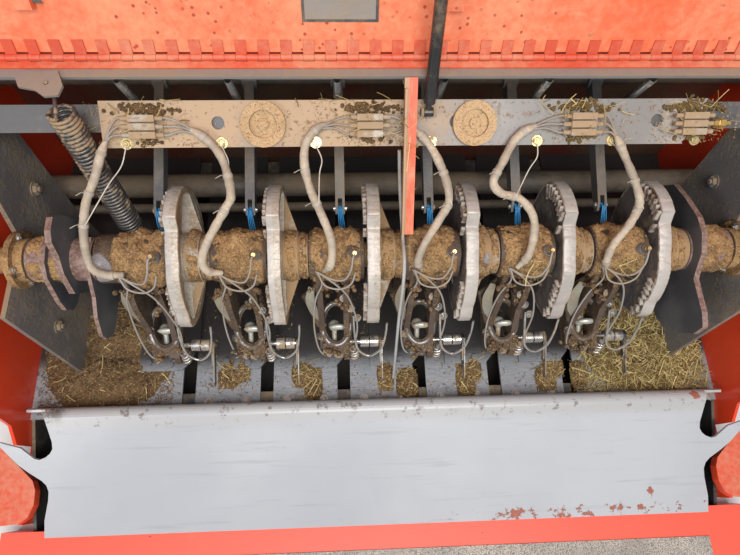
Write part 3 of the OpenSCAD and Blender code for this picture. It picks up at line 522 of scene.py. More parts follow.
def heap_top(x, y, limits, height, seed):
    """Height of a heap over the deck: a rounded dome with a wavy rim that falls to the deck
    inside the rectangle, times one plus two sizes of ripple."""
    x0, x1, y0, y1 = limits
    u, v = (x - x0) / (x1 - x0) * 2 - 1, (y - y0) / (y1 - y0) * 2 - 1
    flat = np.stack([x, y, x * 0], -1)
    wave = 0.16 * ripple(flat, 0.11, seed + 2)
    dome = np.clip(1 - np.hypot(u, v) ** 3 * 0.9 + wave, 0, 1) * np.clip(1 - v ** 8, 0, 1)
    dome *= np.clip(1 - u ** 8, 0, 1)
    rough = 1 + 0.55 * ripple(flat, 0.09, seed) + 0.3 * ripple(flat, 0.022, seed + 1)
    return dome * np.clip(rough, 0.15, None) * height - HEAP_SINK


def heap(limits, height, seed, rows=80):
    """Chaff heap on the deck: its top over a grid, closed by a flat base in the deck."""
    x0, x1, y0, y1 = limits
    columns = max(12, int(rows * (y1 - y0) / (x1 - x0)))
    x, y = np.meshgrid(np.linspace(x0, x1, rows), np.linspace(y0, y1, columns), indexing="ij")
    top = np.stack([x, y, DECK_Z + heap_top(x, y, limits, height, seed)], -1)
    floor = top[1:-1, 1:-1] * (1, 1, 0) + (0, 0, DECK_Z - HEAP_SINK)
    under = grid_index(rows, columns).copy()
    under[1:-1, 1:-1] = rows * columns + grid_index(rows - 2, columns - 2)
    points = np.concatenate([top.reshape(-1, 3), floor.reshape(-1, 3)])
    faces = np.concatenate([cells(grid_index(rows, columns)), cells(under)[:, ::-1]])
    return points, outward(points, faces)


# Each heap is its x0, x1, y0 and y1, its height, and how many flakes and stalks lie on it.
HEAPS = [((-0.882, -0.535, -0.278, 0.03), 0.018, 7000, 90),
         ((0.540, 0.882, -0.275, 0.07), 0.026, 5200, 2700)]
CLUMPS = [(-0.398, -0.178), (-0.362, -0.160), (-0.207, -0.188), (-0.180, -0.215),
          (0.010, -0.198), (0.066, -0.225), (0.245, -0.184), (0.222, -0.218), (0.459, -0.187),
          (0.438, -0.218), (0.530, -0.212)]
for x, y in CLUMPS:
    half_x, half_y = draw.uniform(0.020, 0.034), draw.uniform(0.034, 0.052)
    HEAPS.append(((x - half_x, x + half_x, y - half_y, y + half_y), 0.010, 560, 10))

heap_meshes = []
flake_spots = []
stalk_spots = []
for seed, (limits, height, flake_count, stalk_count) in enumerate(HEAPS, 50):
    heap_meshes.append(heap(limits, height, seed, rows=90 if flake_count > 1000 else 20))
    for spots, count in ((flake_spots, flake_count), (stalk_spots, stalk_count)):
        x = draw.uniform(limits[0] + 0.004, limits[1] - 0.004, count)
        y = draw.uniform(limits[2] + 0.004, limits[3] - 0.004, count)
        top = np.clip(heap_top(x, y, limits, height, seed), 0, None)
        spots.append(np.stack([x, y, DECK_Z + 0.0005 + top], 1))
chaff_heaps = mesh_piece("chaff_heaps", *merged(*heap_meshes), chaff, smooth=80.0)

# A thin litter of single flakes lies over the rest of the deck.
LITTER = 2600
SLOT_CLEAR = 0.019
litter = np.stack([draw.uniform(-0.70, 0.70, LITTER), draw.uniform(-0.275, 0.10, LITTER),
                   np.full(LITTER, DECK_Z + 0.0006)], 1)
slot_gap = np.abs((litter[:, :1] - knotter_x) ** 2).min(axis=1) ** 0.5
flake_spots.append(litter[slot_gap > SLOT_CLEAR])
flake_centres = np.concatenate(flake_spots)
flake_up = np.tile((0.0, 0.0, 1.0), (len(flake_centres), 1))
chaff_flakes = mesh_piece("chaff_flakes", *flakes(flake_centres, flake_up, FLAKE), flake_straw)
add_tone(chaff_flakes, draw.random(len(flake_centres))
         * np.where(flake_centres[:, 0] < -0.45, 0.62, 0.95))
stalk_centres = np.concatenate(stalk_spots)
loose_straw = mesh_piece("loose_straw", *stalks(stalk_centres, STALK), straw, smooth=60.0)
add_tone(loose_straw, draw.random(len(stalk_centres)))
for piece in (chaff_heaps, chaff_flakes, loose_straw):
    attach(piece, "frame")

# Rear plate. One bent sheet with a rolled lip, grey paint polished by sleeves and twine
# balls, with rust where the lower edge and the right end have chipped.
PLATE_GREY = (0.375, 0.385, 0.405)
PLATE_CHIPS = [((0.689, -0.500, 0.112), 0.045), ((0.798, -0.279, 0.219), 0.024),
               ((0.808, -0.385, 0.168), 0.022)]


def rear_plate_finish():
    finish = Finish("plate_paint")
    place = finish.place()
    cloud = finish.noise(place, 2.2, 4.0)
    scuff = finish.noise(finish.place((1.0, 14.0, 14.0)), 5.0, 5.0, 0.6)
    grime = finish.step(finish.noise(place, 26.0, 8.0, 0.75), 0.60, 0.74)
    tone = finish.mix(PLATE_GREY, (0.44, 0.45, 0.465), finish.step(cloud, 0.35, 0.7))
    tone = finish.mix(tone, (0.29, 0.305, 0.33), finish.step(scuff, 0.55, 0.72) * 0.45)
    tone = finish.mix(tone, (0.30, 0.26, 0.21), grime * 0.30)
    lip = finish.step(finish.along(2), 0.200, 0.214)
    tone = finish.mix(tone, (0.400, 0.395, 0.392), lip * finish.step(scuff + cloud, 0.60, 1.05))
    tone = finish.mix(tone, (0.10, 0.065, 0.04), lip * finish.step(
        finish.noise(place, 44.0, 6.0, 0.7), 0.56, 0.66) * 0.7)
    low = 1.0 - finish.step(finish.along(1), -0.538, -0.520)
    spots = low * (0.20 + finish.step(finish.along(0), 0.0, 0.4) * 0.45)
    for spot, reach in PLATE_CHIPS:
        spots = spots + finish.near(spot, reach)
    flaw = finish.noise(place, 30.0, 9.0, 0.72)
    gap = finish.step(flaw + spots * 0.22, 0.71, 0.725)
    tone = finish.mix(tone, finish.mix((0.22, 0.065, 0.035), (0.40, 0.13, 0.08), flaw), gap)
    stain = finish.near((-0.803, -0.27, 0.208), 0.045) * finish.step(flaw, 0.40, 0.55)
    tone = finish.mix(tone, (0.07, 0.055, 0.045), stain)
    rough = 0.30 + grime * 0.25 + gap * 0.4
    normal = finish.bump(finish.noise(place, 9.0, 2.0) * 2.0 - gap, 0.0005)
    return finish.shade(Base_Color=tone, Roughness=rough, Normal=normal)


dress("rear_plate", rear_plate_finish())

# Step. A folded sheet box in the machine's red, dulled by boots, with a strip of gritty
# tread glued along it.
RED = (0.97, 0.105, 0.055)
red_paint = painted("red_paint", RED, dust=(0.92, 0.30, 0.19), cover=-0.40, shine=0.50,
                    chips=0.03, bare=(0.30, 0.06, 0.03))
dress("step", red_paint)
dress("side_covers", painted("cover_paint", (0.76, 0.065, 0.018), dust=(0.60, 0.25, 0.15),
                             cover=-0.10, shine=0.28, chips=0.03, bare=(0.22, 0.05, 0.02)))


def grip_finish():
    finish = Finish("gritty_tread")
    place = finish.place()
    grit = finish.node("ShaderNodeTexVoronoi", None, {"Vector": place, "Scale": 420.0})
    wear = finish.noise(place, 8.0, 5.0)
    tone = finish.mix((0.40, 0.36, 0.31), (0.58, 0.51, 0.43), finish.step(wear, 0.35, 0.65))
    tone = finish.mix(tone, (0.20, 0.175, 0.155), finish.step(grit, 0.40, 0.65))
    return finish.shade(Base_Color=tone, Roughness=0.9, Normal=finish.bump(grit, -0.0010))


dress("step_grip", grip_finish())

# Side walls, front panel and roof panel. Pressed sheet in the machine's red, glossy on the
# walls and dull with dust further in, where the panels' faces into the bay are darkened as
# painted shade.
wall_paint = painted("wall_paint", (0.80, 0.052, 0.010), dust=(0.55, 0.26, 0.12), cover=-0.44,
                     shine=0.22, chips=0.02, bare=(0.30, 0.05, 0.02))


def panel_finish(name, axis):
    """Red outside, where the face looks along the axis, and inside the bay dark with dust, the dark
    red there being painted shade.
    """
    finish = Finish(name)
    place = finish.place()
    broad = finish.noise(place, 5.0, 5.0)
    fine = finish.noise(place, 70.0, 6.0, 0.65)
    # Painted shade: faces into the bay get a near-black red, while faces looking out keep the red
    # paint.
    inside = finish.mix((0.105, 0.012, 0.007), (0.085, 0.055, 0.032),
                        finish.step(broad * 0.9 + fine * 0.6, 0.50, 0.95))
    outside = finish.mix((0.72, 0.060, 0.016), (0.60, 0.24, 0.13),
                         finish.step(broad * 0.9 + fine * 0.6, 0.86, 1.15))
    tone = finish.mix(inside, outside, finish.step(finish.facing(axis), 0.3, 0.6))
    return finish.shade(Base_Color=tone, Roughness=0.5, Normal=finish.bump(fine, 0.0005))


for node in ("side_wall_left", "side_wall_right"):
    dress(node, wall_paint)
dress("front_panel", panel_finish("front_paint", 1))
dress("roof_panel", panel_finish("roof_paint", 2))

# Side plates. Thick dark plates, rubbed and rust-spotted, that carry the shaft and the
# crossbar, with large nuts along their lower edge.


def cheek_finish():
    finish = Finish("cheek_paint")
    place = finish.place()
    broad = finish.noise(place, 7.0, 5.0, 0.65)
    fine = finish.noise(place, 90.0, 7.0, 0.7)
    tone = finish.mix((0.150, 0.145, 0.145), (0.250, 0.240, 0.235), finish.step(broad, 0.42, 0.68))
    film = finish.step(broad * 0.6 + fine * 0.8 + finish.facing() * 0.35, 0.64, 0.86)
    tone = finish.mix(tone, (0.250, 0.175, 0.095), film * 0.85)
    speck = finish.step(finish.noise(place, 160.0, 3.0, 0.6), 0.62, 0.68)
    tone = finish.mix(tone, (0.34, 0.23, 0.12), speck * 0.7)
    return finish.shade(Base_Color=tone, Roughness=0.40 + film * 0.45,
                        Normal=finish.bump(film + fine * 0.4, 0.0009))


cheek_paint = cheek_finish()
for node in ("side_plate_left", "side_plate_right"):
    dress(node, cheek_paint)
CHEEK_NUTS = [(-0.7695, -0.090, 0.330), (-0.7695, 0.170, 0.520), (-0.7695, 0.085, 0.250)]
cheek_nuts = mesh_piece("cheek_nuts", *merged(
    bolts(CHEEK_NUTS, (1, 0, 0), 0.013),
    bolts(np.array(CHEEK_NUTS) * (-1, 1, 1), (-1, 0, 0), 0.013)), cheek_paint)
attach(cheek_nuts, "frame")

# Knotter shaft and its bearings. A turned shaft in flanged cast bearings with hex bolts;
# no bare iron shows, for grease and chaff have baked on to it.
SHAFT_Z = 0.525


def caked_finish(name, crust=(0.355, 0.205, 0.086), deep=(0.095, 0.050, 0.020), share=0.0,
                 bare_spots=()):
    """Dust and grease baked to a crust: two browns by a clumpy noise, pale specks of chaff
    by a fine one, and a deep bump; share bares the iron below where a noise is high, and
    each bare spot, a centre and a reach, shows smooth blue-grey iron."""
    finish = Finish(name)
    place = finish.place()
    clump = finish.noise(place, 38.0, 6.0, 0.7)
    broad = finish.noise(place, 9.0, 3.0)
    fleck = finish.noise(place, 300.0, 3.0, 0.75)
    tone = finish.mix(deep, crust, finish.step(clump + broad * 0.5 + finish.facing() * 0.08,
                                               0.50, 0.95))
    tone = finish.mix(tone, (0.60, 0.43, 0.19), finish.step(fleck, 0.55, 0.66) * 0.65)
    tone = finish.mix(tone, (0.060, 0.034, 0.016), finish.step(fleck * -1.0, -0.45, -0.36) * 0.7)
    rough = 0.92
    if share:
        bare = finish.step(clump * 0.7 + broad * 0.6 + share, 0.82, 0.92)
        iron = finish.mix((0.050, 0.042, 0.038), (0.115, 0.068, 0.040), finish.noise(place, 70.0))
        tone = finish.mix(tone, iron, bare)
        rough = 0.92 - bare * 0.45
    height = clump * 1.6 + fleck * 0.5
    for spot, reach in bare_spots:
        bare = finish.step(finish.near(spot, reach) + clump * 0.4, 0.42, 0.60)
        tone = finish.mix(tone, finish.mix((0.17, 0.175, 0.20), (0.30, 0.25, 0.22), fleck), bare)
        rough = rough - bare * 0.50
        height = height * (1.0 - bare * 0.8)
    return finish.shade(Base_Color=tone, Roughness=rough, Normal=finish.bump(height, 0.0030))


caked_iron = caked_finish("caked_iron", share=0.06)
for node in ("knotter_shaft", "shaft_bearings"):
    dress(node, caked_iron)
FLANGE_X = 0.758
FLANGE_BOLT_R = 0.050
flange_turn = np.radians([45, 135, 225, 315])
flange_ring = np.stack([0 * flange_turn, FLANGE_BOLT_R * np.cos(flange_turn),
                        FLANGE_BOLT_R * np.sin(flange_turn) + SHAFT_Z], 1)
bearing_bolts = mesh_piece("bearing_bolts", *merged(
    bolts(flange_ring + (-FLANGE_X, 0, 0), (1, 0, 0), 0.007),
    bolts(flange_ring + (FLANGE_X, 0, 0), (-1, 0, 0), 0.007)), bolt_steel)
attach(bearing_bolts, "frame")

# Crust on the hubs. Between the cam discs the hubs wear thick collars of baked dust with
# clods on them and flakes of chaff stuck in; the discs' own hubs carry theirs round with
# the shaft.
HUB_R = 0.052
END_R = 0.046
HUB_SPAN = np.array((-0.064, 0.043))
FLANGE_SPAN = np.array((0.083, 0.111))
NECK_SPAN = np.array((0.1125, 0.1315))
END_SPAN = np.array((0.662, 0.735))
CLOD = 0.0065
CLOD_SINK = 0.0025
CLOD_INSET = 0.010
COLLAR_COLUMNS = 108
crust = caked_finish("hub_crust", bare_spots=[((-0.60, -0.035, 0.555), 0.040),
                                              ((0.205, -0.03, 0.565), 0.020)])


def collar(span, hub_r, bulges, seed, base=0.0045):
    """Crust round a hub, a closed ring. At place x and angle a its outer radius is the hub's
    less 3 mm, plus e times the base, the bulges' bell curves and two sizes of ripple, where e
    rises from 0 to 1 over 4 mm from each end. Two rings inside the hub close it."""
    x0, x1 = span
    rows, columns = max(10, int((x1 - x0) / 0.0030)), COLLAR_COLUMNS
    x, turn = np.meshgrid(np.linspace(x0, x1, rows), np.arange(columns) * 2 * np.pi / columns,
                          indexing="ij")
    round_hub = np.stack([x, hub_r * np.cos(turn), hub_r * np.sin(turn)], -1)
    bells = sum(high * np.exp(-((x - at) / wide) ** 2) for at, high, wide in bulges)
    rough = 0.0042 * ripple(round_hub, 0.040, seed) + 0.0019 * ripple(round_hub, 0.011, seed + 1)
    rise = np.clip(np.minimum(x - x0, x1 - x) / 0.004, 0, 1)
    radius = hub_r - 0.003 + np.clip(base + bells + rough, 0, None) * rise
    radius = np.concatenate([radius, np.full((2, columns), hub_r - 0.007)])
    x, turn = np.concatenate([x, x[[-1, 0]]]), np.concatenate([turn, turn[:2]])
    points = np.stack([x, radius * np.cos(turn), SHAFT_Z + radius * np.sin(turn)], -1)
    points = points.reshape(-1, 3)
    return points, outward(points, cells(grid_index(rows + 2, columns, True, True)))


def lumps(centres, size):
    """Clods: each a ball drawn out along a random axis, seven rings with the radius of a
    circle's half chords, times random shares."""
    count = len(centres)
    axis = draw.normal(size=(count, 3))
    axis /= np.linalg.norm(axis, axis=1, keepdims=True)
    turn = np.linspace(0.25, np.pi - 0.25, 7)
    size = size * draw.uniform(0.45, 1.0, (count, 1))
    paths = centres[:, None] - axis[:, None] * (size * np.cos(turn) * 1.15)[..., None]
    return sweep(paths, size * np.sin(turn) * draw.uniform(0.75, 1.1, (count, 7)), sides=8)


def on_crust(points, count, lift=0.0):
    """Random points of a ring's outer surface, with their directions away from the axis."""
    pick = points[draw.integers(0, len(points) * 9 // 10, count)]
    away = pick - (0, 0, SHAFT_Z)
    away[:, 0] = 0
    away /= np.linalg.norm(away, axis=1, keepdims=True)
    return pick + away * lift, away


def static_bulges(k, x):
    """Bulges of one hub: a high one near the middle, a lower one on either side."""
    rng = np.random.default_rng(70 + k)
    return [(x + rng.uniform(-0.022, 0.004), rng.uniform(0.006, 0.0100), 0.015),
            (x + rng.uniform(0.018, 0.034), rng.uniform(0.002, 0.005), 0.009),
            (x - rng.uniform(0.040, 0.052), rng.uniform(0.001, 0.004), 0.008)]


static_rings = [collar(x + HUB_SPAN, HUB_R, static_bulges(k, x), 80 + 3 * k)
                for k, x in enumerate(knotter_x)]
flange_rings = [collar(x + FLANGE_SPAN, HUB_R, [(x + 0.095, 0.0015, 0.010)], 110 + 3 * k,
                       base=0.0035) for k, x in enumerate(knotter_x)]
neck_rings = [collar(x + NECK_SPAN, END_R, [], 130 + 3 * k) for k, x in enumerate(knotter_x)]
end_rings = [collar(-END_SPAN[::-1], END_R, [(-0.70, 0.002, 0.02)], 150, base=0.0040),
             collar(END_SPAN, END_R, [(0.690, 0.005, 0.014), (0.722, 0.002, 0.006)], 153)]
for name, body, rings, flake_count, clod_count in (
        ("hub_crust", "frame", static_rings, 950, 46),
        ("disc_hub_crust", "knotter_shaft", flange_rings + neck_rings + end_rings, 260, 0)):
    ring_piece = mesh_piece(name, *merged(*rings), crust, smooth=80.0)
    spots = [on_crust(points, flake_count, 0.0004) for points, faces in rings]
    away = np.concatenate([away for spot, away in spots])
    bits = flakes(np.concatenate([spot for spot, away in spots]), away, 0.010)
    ring_flakes = mesh_piece(name + "_flakes", *bits, flake_straw)
    add_tone(ring_flakes, draw.random(len(away)) * 0.9)
    pieces = [ring_piece, ring_flakes]
    if clod_count:
        clods = []
        for points, faces in rings:
            clod_at = on_crust(points, clod_count, -CLOD_SINK)[0]
            low, high = points[:, 0].min() + CLOD_INSET, points[:, 0].max() - CLOD_INSET
            clod_at[:, 0] = np.clip(clod_at[:, 0], low, high)
            clods.append(clod_at)
        pieces.append(mesh_piece(name + "_clods", *lumps(np.concatenate(clods), CLOD), crust,
                                 smooth=80.0))
    for piece in pieces:
        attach(piece, body)

# Cam discs. One casting for each knotter: a two-lobed rim with tooth segments on its flat
# side that drive the knotter's pinions, pale on the rim and packed with dust between the ribs
# of the other side. The pale rim is partly rubbed metal and partly painted sheen, which is
# stronger on the discs right of the middle.
DISC_FLAT = 0.054
RIM_W = 0.026


def disc_finish():
    finish = Finish("disc_casting")
    place = finish.place()
    broad = finish.noise(place, 6.0, 4.0)
    clump = finish.noise(place, 42.0, 6.0, 0.7)
    fine = finish.noise(place, 180.0, 4.0)
    shift = knotter_x[-1] - 3 * SLOT_PITCH + DISC_FLAT - 0.2
    wrap = {0: finish.along(0) - shift, 1: SLOT_PITCH, 2: 0.0}
    across = finish.node("ShaderNodeMath", {"operation": "WRAP"}, wrap)
    side = finish.facing(0)
    edge = 1.0 - finish.step(side * side, 0.10, 0.45)
    rim = edge * (1.0 - finish.step(across, RIM_W - 0.001, RIM_W + 0.001))
    tone = finish.mix((0.34, 0.285, 0.215), (0.46, 0.400, 0.320), finish.step(fine, 0.4, 0.6))
    dusty = finish.step(broad * 0.8 + clump * 0.8 - rim * 0.50, 0.62, 0.86)
    tone = finish.mix(tone, (0.33, 0.210, 0.105), dusty)
    # The pale rim tone is partly rubbed metal and partly painted sheen; past the edge strip it
    # grows towards the right of the bay.
    pale = finish.mix((0.31, 0.285, 0.260), (0.46, 0.428, 0.390), finish.step(broad, 0.35, 0.6))
    near_edge = 1.0 - finish.step(across, 0.011, 0.013)
    right = finish.step(finish.along(0), -0.10, 0.12)
    rim_wear_and_sheen = rim * (near_edge * 0.9 + (1.0 - near_edge) * (0.25 + right * 0.55))
    tone = finish.mix(tone, pale, rim_wear_and_sheen)
    flat = finish.step(side * -1.0, 0.6, 0.9)
    slate = finish.mix((0.080, 0.080, 0.085), (0.20, 0.15, 0.10), finish.step(clump, 0.48, 0.66))
    tone = finish.mix(tone, slate, flat * 0.9)
    teeth = finish.step(across, SLOT_PITCH - 0.0085, SLOT_PITCH - 0.0080)
    worn = finish.mix((0.17, 0.11, 0.07), (0.40, 0.35, 0.30), finish.step(clump + fine * 0.3,
                                                                          0.55, 0.70))
    tone = finish.mix(tone, worn, teeth)
    spots = finish.step(clump + fine * 0.4, 0.84, 0.90)
    tone = finish.mix(tone, (0.17, 0.105, 0.055), spots * 0.6)
    rough = 0.42 + dusty * 0.45
    return finish.shade(Base_Color=tone, Roughness=rough, Metallic=0.15,
                        Normal=finish.bump(clump + fine * 0.4 + dusty, 0.0016))


disc_casting = disc_finish()
dress("cam_discs", disc_casting)

# The rim's casting skin follows the disc's outline: its radius in mm at angles in degrees,
# taken from forward towards up, with the sand's roughness and rounded edges.
RIM_KNOTS = np.array([(22, 150), (28, 150), (39, 143), (50, 135), (61, 127), (72, 118), (76, 92),
                      (90, 84), (105, 79), (120, 77), (130, 80), (140, 87), (155, 93), (170, 101),
                      (181, 110), (192, 118), (200, 140), (208, 150), (382, 150)])
RIM_SECTION = np.array([(-0.0005, -0.0045), (-0.0005, -0.0012), (0.0002, 0.0001),
                        (0.0018, 0.0008), (0.0130, 0.0010), (0.0242, 0.0008), (0.0258, 0.0001),
                        (0.0265, -0.0012), (0.0265, -0.0045)])


def rim_skin(x):
    """Skin over a disc's rim: the section, its places across and out of the rim, carried round
    the outline, whose radius is eased over 5 degrees and roughened by ripple."""
    degrees = np.linspace(22, 382, 361)[:-1]
    radius = np.interp(degrees, RIM_KNOTS[:, 0], RIM_KNOTS[:, 1]) / 1000
    shifts = np.arange(-2, 3)
    radius = np.mean([np.roll(radius, shift) for shift in shifts], axis=0)
    turn = np.radians(degrees)[:, None]
    across = x + DISC_FLAT + RIM_SECTION[:, 0] + 0 * turn
    reach = radius[:, None] + RIM_SECTION[:, 1]
    rough = np.stack([across, reach * np.cos(turn), reach * np.sin(turn)], -1)
    reach = reach + 0.0006 * ripple(rough, 0.020, 161) + 0.0003 * ripple(rough, 0.007, 162)
    points = np.stack([across, reach * np.cos(turn), SHAFT_Z + reach * np.sin(turn)], -1)
    faces = cells(grid_index(len(degrees), len(RIM_SECTION), True, True))
    return points.reshape(-1, 3), outward(points.reshape(-1, 3), faces)


disc_rims = mesh_piece("disc_rims", *merged(*(rim_skin(x) for x in knotter_x)), disc_casting,
                       smooth=60.0)
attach(disc_rims, "knotter_shaft")

# End cams. Heavy cams and the curved blade at the shaft's ends, dark slate with edges that
# rust has turned a pinkish brown.


def end_cam_finish():
    finish = Finish("end_cam_iron")
    place = finish.place()
    broad = finish.noise(place, 8.0, 5.0)
    fine = finish.noise(place, 110.0, 5.0, 0.7)
    side = finish.facing(0)
    edge = 1.0 - finish.step(side * side, 0.25, 0.7)
    tone = finish.mix((0.060, 0.062, 0.068), (0.115, 0.115, 0.120), finish.step(broad, 0.4, 0.7))
    film = finish.step(broad * 0.7 + fine * 0.7 + finish.facing() * 0.12, 0.80, 0.98)
    tone = finish.mix(tone, (0.19, 0.125, 0.070), film * 0.8)
    rust = finish.mix((0.150, 0.085, 0.062), (0.290, 0.185, 0.150), finish.step(fine, 0.4, 0.6))
    tone = finish.mix(tone, rust, edge * 0.9)
    return finish.shade(Base_Color=tone, Roughness=0.45 + film * 0.3,
                        Normal=finish.bump(fine + film, 0.0006))


dress("end_cams", end_cam_finish())

# Knotter frames. Cast frames round the shaft, dark with oil, each with a window ring, a
# lower boss clotted with dirt and a painted grease cup with a brass nipple.
dress("knotter_frames", caked_finish("frame_iron", crust=(0.135, 0.080, 0.042), share=0.24,
                                     deep=(0.034, 0.021, 0.013),
                                     bare_spots=[((-0.590, -0.035, 0.555), 0.050)]))
clod_spots = np.concatenate([
    draw.normal((x + dx, y, z), (0.012, 0.008, 0.006), (n, 3)) for x in knotter_x
    for dx, y, z, n in ((-0.030, -0.158, 0.312, 26), (0.010, -0.150, 0.315, 16),
                        (-0.048, -0.070, 0.500, 12), (0.010, -0.062, 0.505, 12),
                        (0.004, -0.080, 0.430, 10))])
boss_crust = mesh_piece("boss_crust", *lumps(clod_spots, 0.0070),
                        caked_finish("boss_dirt", crust=(0.155, 0.088, 0.044),
                                     deep=(0.040, 0.023, 0.012)), smooth=80.0)
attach(boss_crust, "frame")
# A rounded rim stands round each window, worn pale by the twine.
WINDOW_TILT = np.radians(24)
window_turn = np.linspace(0, 2 * np.pi, 49)[:, None]
WINDOW_AT = np.array((-0.015, -0.100, 0.338))
window_path = (WINDOW_AT + 0.0340 * np.cos(window_turn) * (1.0, 0.0, 0.0)
               + 0.0505 * np.sin(window_turn) * np.array((0, np.cos(WINDOW_TILT),
                                                          np.sin(WINDOW_TILT)))
               + 0.0125 * np.array((0, -np.sin(WINDOW_TILT), np.cos(WINDOW_TILT))))
window_rims = mesh_piece("window_rims", *sweep([window_path + (x, 0, 0) for x in knotter_x],
                                               0.0058, sides=10),
                         rubbed_steel("rim_iron", (0.20, 0.18, 0.165), dust=(0.10, 0.065, 0.04),
                                      cover=0.06, metal=0.5), smooth=60.0)
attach(window_rims, "frame")
CUP_LOW = (0.028, -0.017, 0.571)
CUP_UP = (0.0, -0.35, 0.937)
cup_spots = np.stack([knotter_x, 0 * knotter_x, 0 * knotter_x], 1) + CUP_LOW
cups = mesh_piece("grease_cups", *stacked(cup_spots, CUP_UP, [0, 0.002, 0.022, 0.025],
                                          [0.0100, 0.0112, 0.0112, 0.0090], 20),
                  rubbed_steel("cup_zinc", (0.26, 0.29, 0.34), metal=0.5, rough=0.35))
nipples = mesh_piece("grease_nipples", *stacked(
    cup_spots, CUP_UP, [0.024, 0.034, 0.035, 0.040], [0.0065, 0.0065, 0.0048, 0.0040], 12),
                     rubbed_steel("brass", (0.62, 0.42, 0.16), cover=-0.02))
for piece in (cups, nipples):
    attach(piece, "frame")

# Knotter steel. Bright rollers, bill hooks and fingers that the twine polishes, and beside
# each roller a stripper spring of three open coils.
roller_steel = rubbed_steel("roller_steel", (0.50, 0.48, 0.45), cover=0.03, rough=0.24)
finger_steel = rubbed_steel("finger_steel", (0.13, 0.125, 0.12), cover=0.05, rough=0.35)
hook_steel = rubbed_steel("hook_steel", (0.50, 0.49, 0.42), cover=-0.02, rough=0.32, metal=0.4)
dress("twine_rollers", roller_steel)
dress("twine_fingers", finger_steel)
dress("bill_hooks", hook_steel)

# Each hook's tongue is a smooth lobe that lies across its window.
LOBE_AT = (-0.010, -0.112, 0.345)
LOBE_HALF = 0.021
LOBE_RISE = 0.004
LOBE_R = 0.0105
lobe_turn = np.linspace(0.15, np.pi - 0.15, 13)
lobe_path = np.stack([LOBE_AT[0] - LOBE_HALF * np.cos(lobe_turn), LOBE_AT[1] + 0 * lobe_turn,
                      LOBE_AT[2] + LOBE_RISE * np.sin(lobe_turn)], 1)
lobe_radius = np.tile(LOBE_R * np.sin(lobe_turn), (SLOTS, 1))
hook_lobes = mesh_piece("hook_lobes", *sweep([lobe_path + (x, 0, 0) for x in knotter_x],
                                             lobe_radius, sides=14, flat=0.7),
                        hook_steel, smooth=60.0)
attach(hook_lobes, "frame")


def coil(start, end, radius, turns, per_turn=12, across=(1.0, 0.0, 0.0)):
    """Path of a helix: the point at share s of the way from start to end, plus the radius
    times the cosine and sine of s times the turns, along two axes square to the way."""
    start, end = np.asarray(start, float), np.asarray(end, float)
    ahead = (end - start) / np.linalg.norm(end - start)
    first = np.cross(ahead, across)
    first /= np.linalg.norm(first)
    second = np.cross(ahead, first)
    share = np.linspace(0, 1, int(turns * per_turn) + 1)[:, None]
    angle = 2 * np.pi * turns * share
    return start + share * (end - start) + radius * (np.cos(angle) * first
                                                     + np.sin(angle) * second)


STRIPPER_X = 0.0273
stripper_paths = [coil((x + STRIPPER_X, -0.1590, 0.3250), (x + STRIPPER_X, -0.1715, 0.2860),
                       0.0090, 3.6) for x in knotter_x]
stripper_pins = [[(x + STRIPPER_X, -0.1575, 0.3295), (x + STRIPPER_X, -0.1645, 0.3075),
                  (x + STRIPPER_X, -0.1735, 0.2795)] for x in knotter_x]
strippers = mesh_piece("stripper_coils", *merged(sweep(stripper_paths, 0.0030, sides=8),
                                                 sweep(stripper_pins, 0.0055, sides=12)),
                       roller_steel, smooth=60.0)
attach(strippers, "frame")
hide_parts("stripper_springs")

# Twine guides. A curved strip of pale sheet left of each window leads the twine down to the
# needle slot, and a bright bail stands over each pair of rollers.


def smooth_route(knots, count):
    """Points at even distances along a Catmull-Rom curve through the knots. Between the knots
    p1 and p2, with p0 and p3 before and after them, it runs through half of 2 p1 + (p2 - p0) t
    + (2 p0 - 5 p1 + 4 p2 - p3) t^2 + (3 p1 - p0 - 3 p2 + p3) t^3."""
    knots = np.asarray(knots, float)
    ends = 2 * knots[[0, -1]] - knots[[1, -2]]
    p = np.concatenate([ends[:1], knots, ends[1:]])
    p0, p1, p2, p3 = p[:-3], p[1:-2], p[2:-1], p[3:]
    t = np.linspace(0, 1, 24, endpoint=False)[:, None, None]
    curve = (2 * p1 + (p2 - p0) * t + (2 * p0 - 5 * p1 + 4 * p2 - p3) * t ** 2
             + (3 * p1 - p0 - 3 * p2 + p3) * t ** 3) / 2
    curve = np.concatenate([curve.transpose(1, 0, 2).reshape(-1, 3), knots[-1:]])
    reach = np.concatenate([[0], np.cumsum(np.linalg.norm(np.diff(curve, axis=0), axis=1))])
    even = np.linspace(0, reach[-1], count)
    return np.stack([np.interp(even, reach, axis) for axis in curve.T], 1)


def strap(path, across, width, thick):
    """Flat bar along a path: at each point a rectangle, its width along the across direction
    and its thickness square to that and to the path."""
    path, across = np.asarray(path, float), np.asarray(across, float)
    across = across / np.linalg.norm(across)
    up = np.cross(across, np.gradient(path, axis=0))
    up /= np.linalg.norm(up, axis=1, keepdims=True)
    corner = np.array([(-1, -1), (1, -1), (1, 1), (-1, 1)]) / 2
    width = np.broadcast_to(width, len(path))[:, None, None]
    points = (path[:, None] + corner[None, :, :1] * width * across
              + corner[None, :, 1:] * thick * up[:, None]).reshape(-1, 3)
    index = grid_index(len(path), 4, around=True)
    caps = np.array([index[0, [0, 2, 1]], index[0, [0, 3, 2]],
                     index[-1, [0, 1, 2]], index[-1, [0, 2, 3]]])
    faces = np.concatenate([cells(index), caps])
    return points, outward(points, faces)


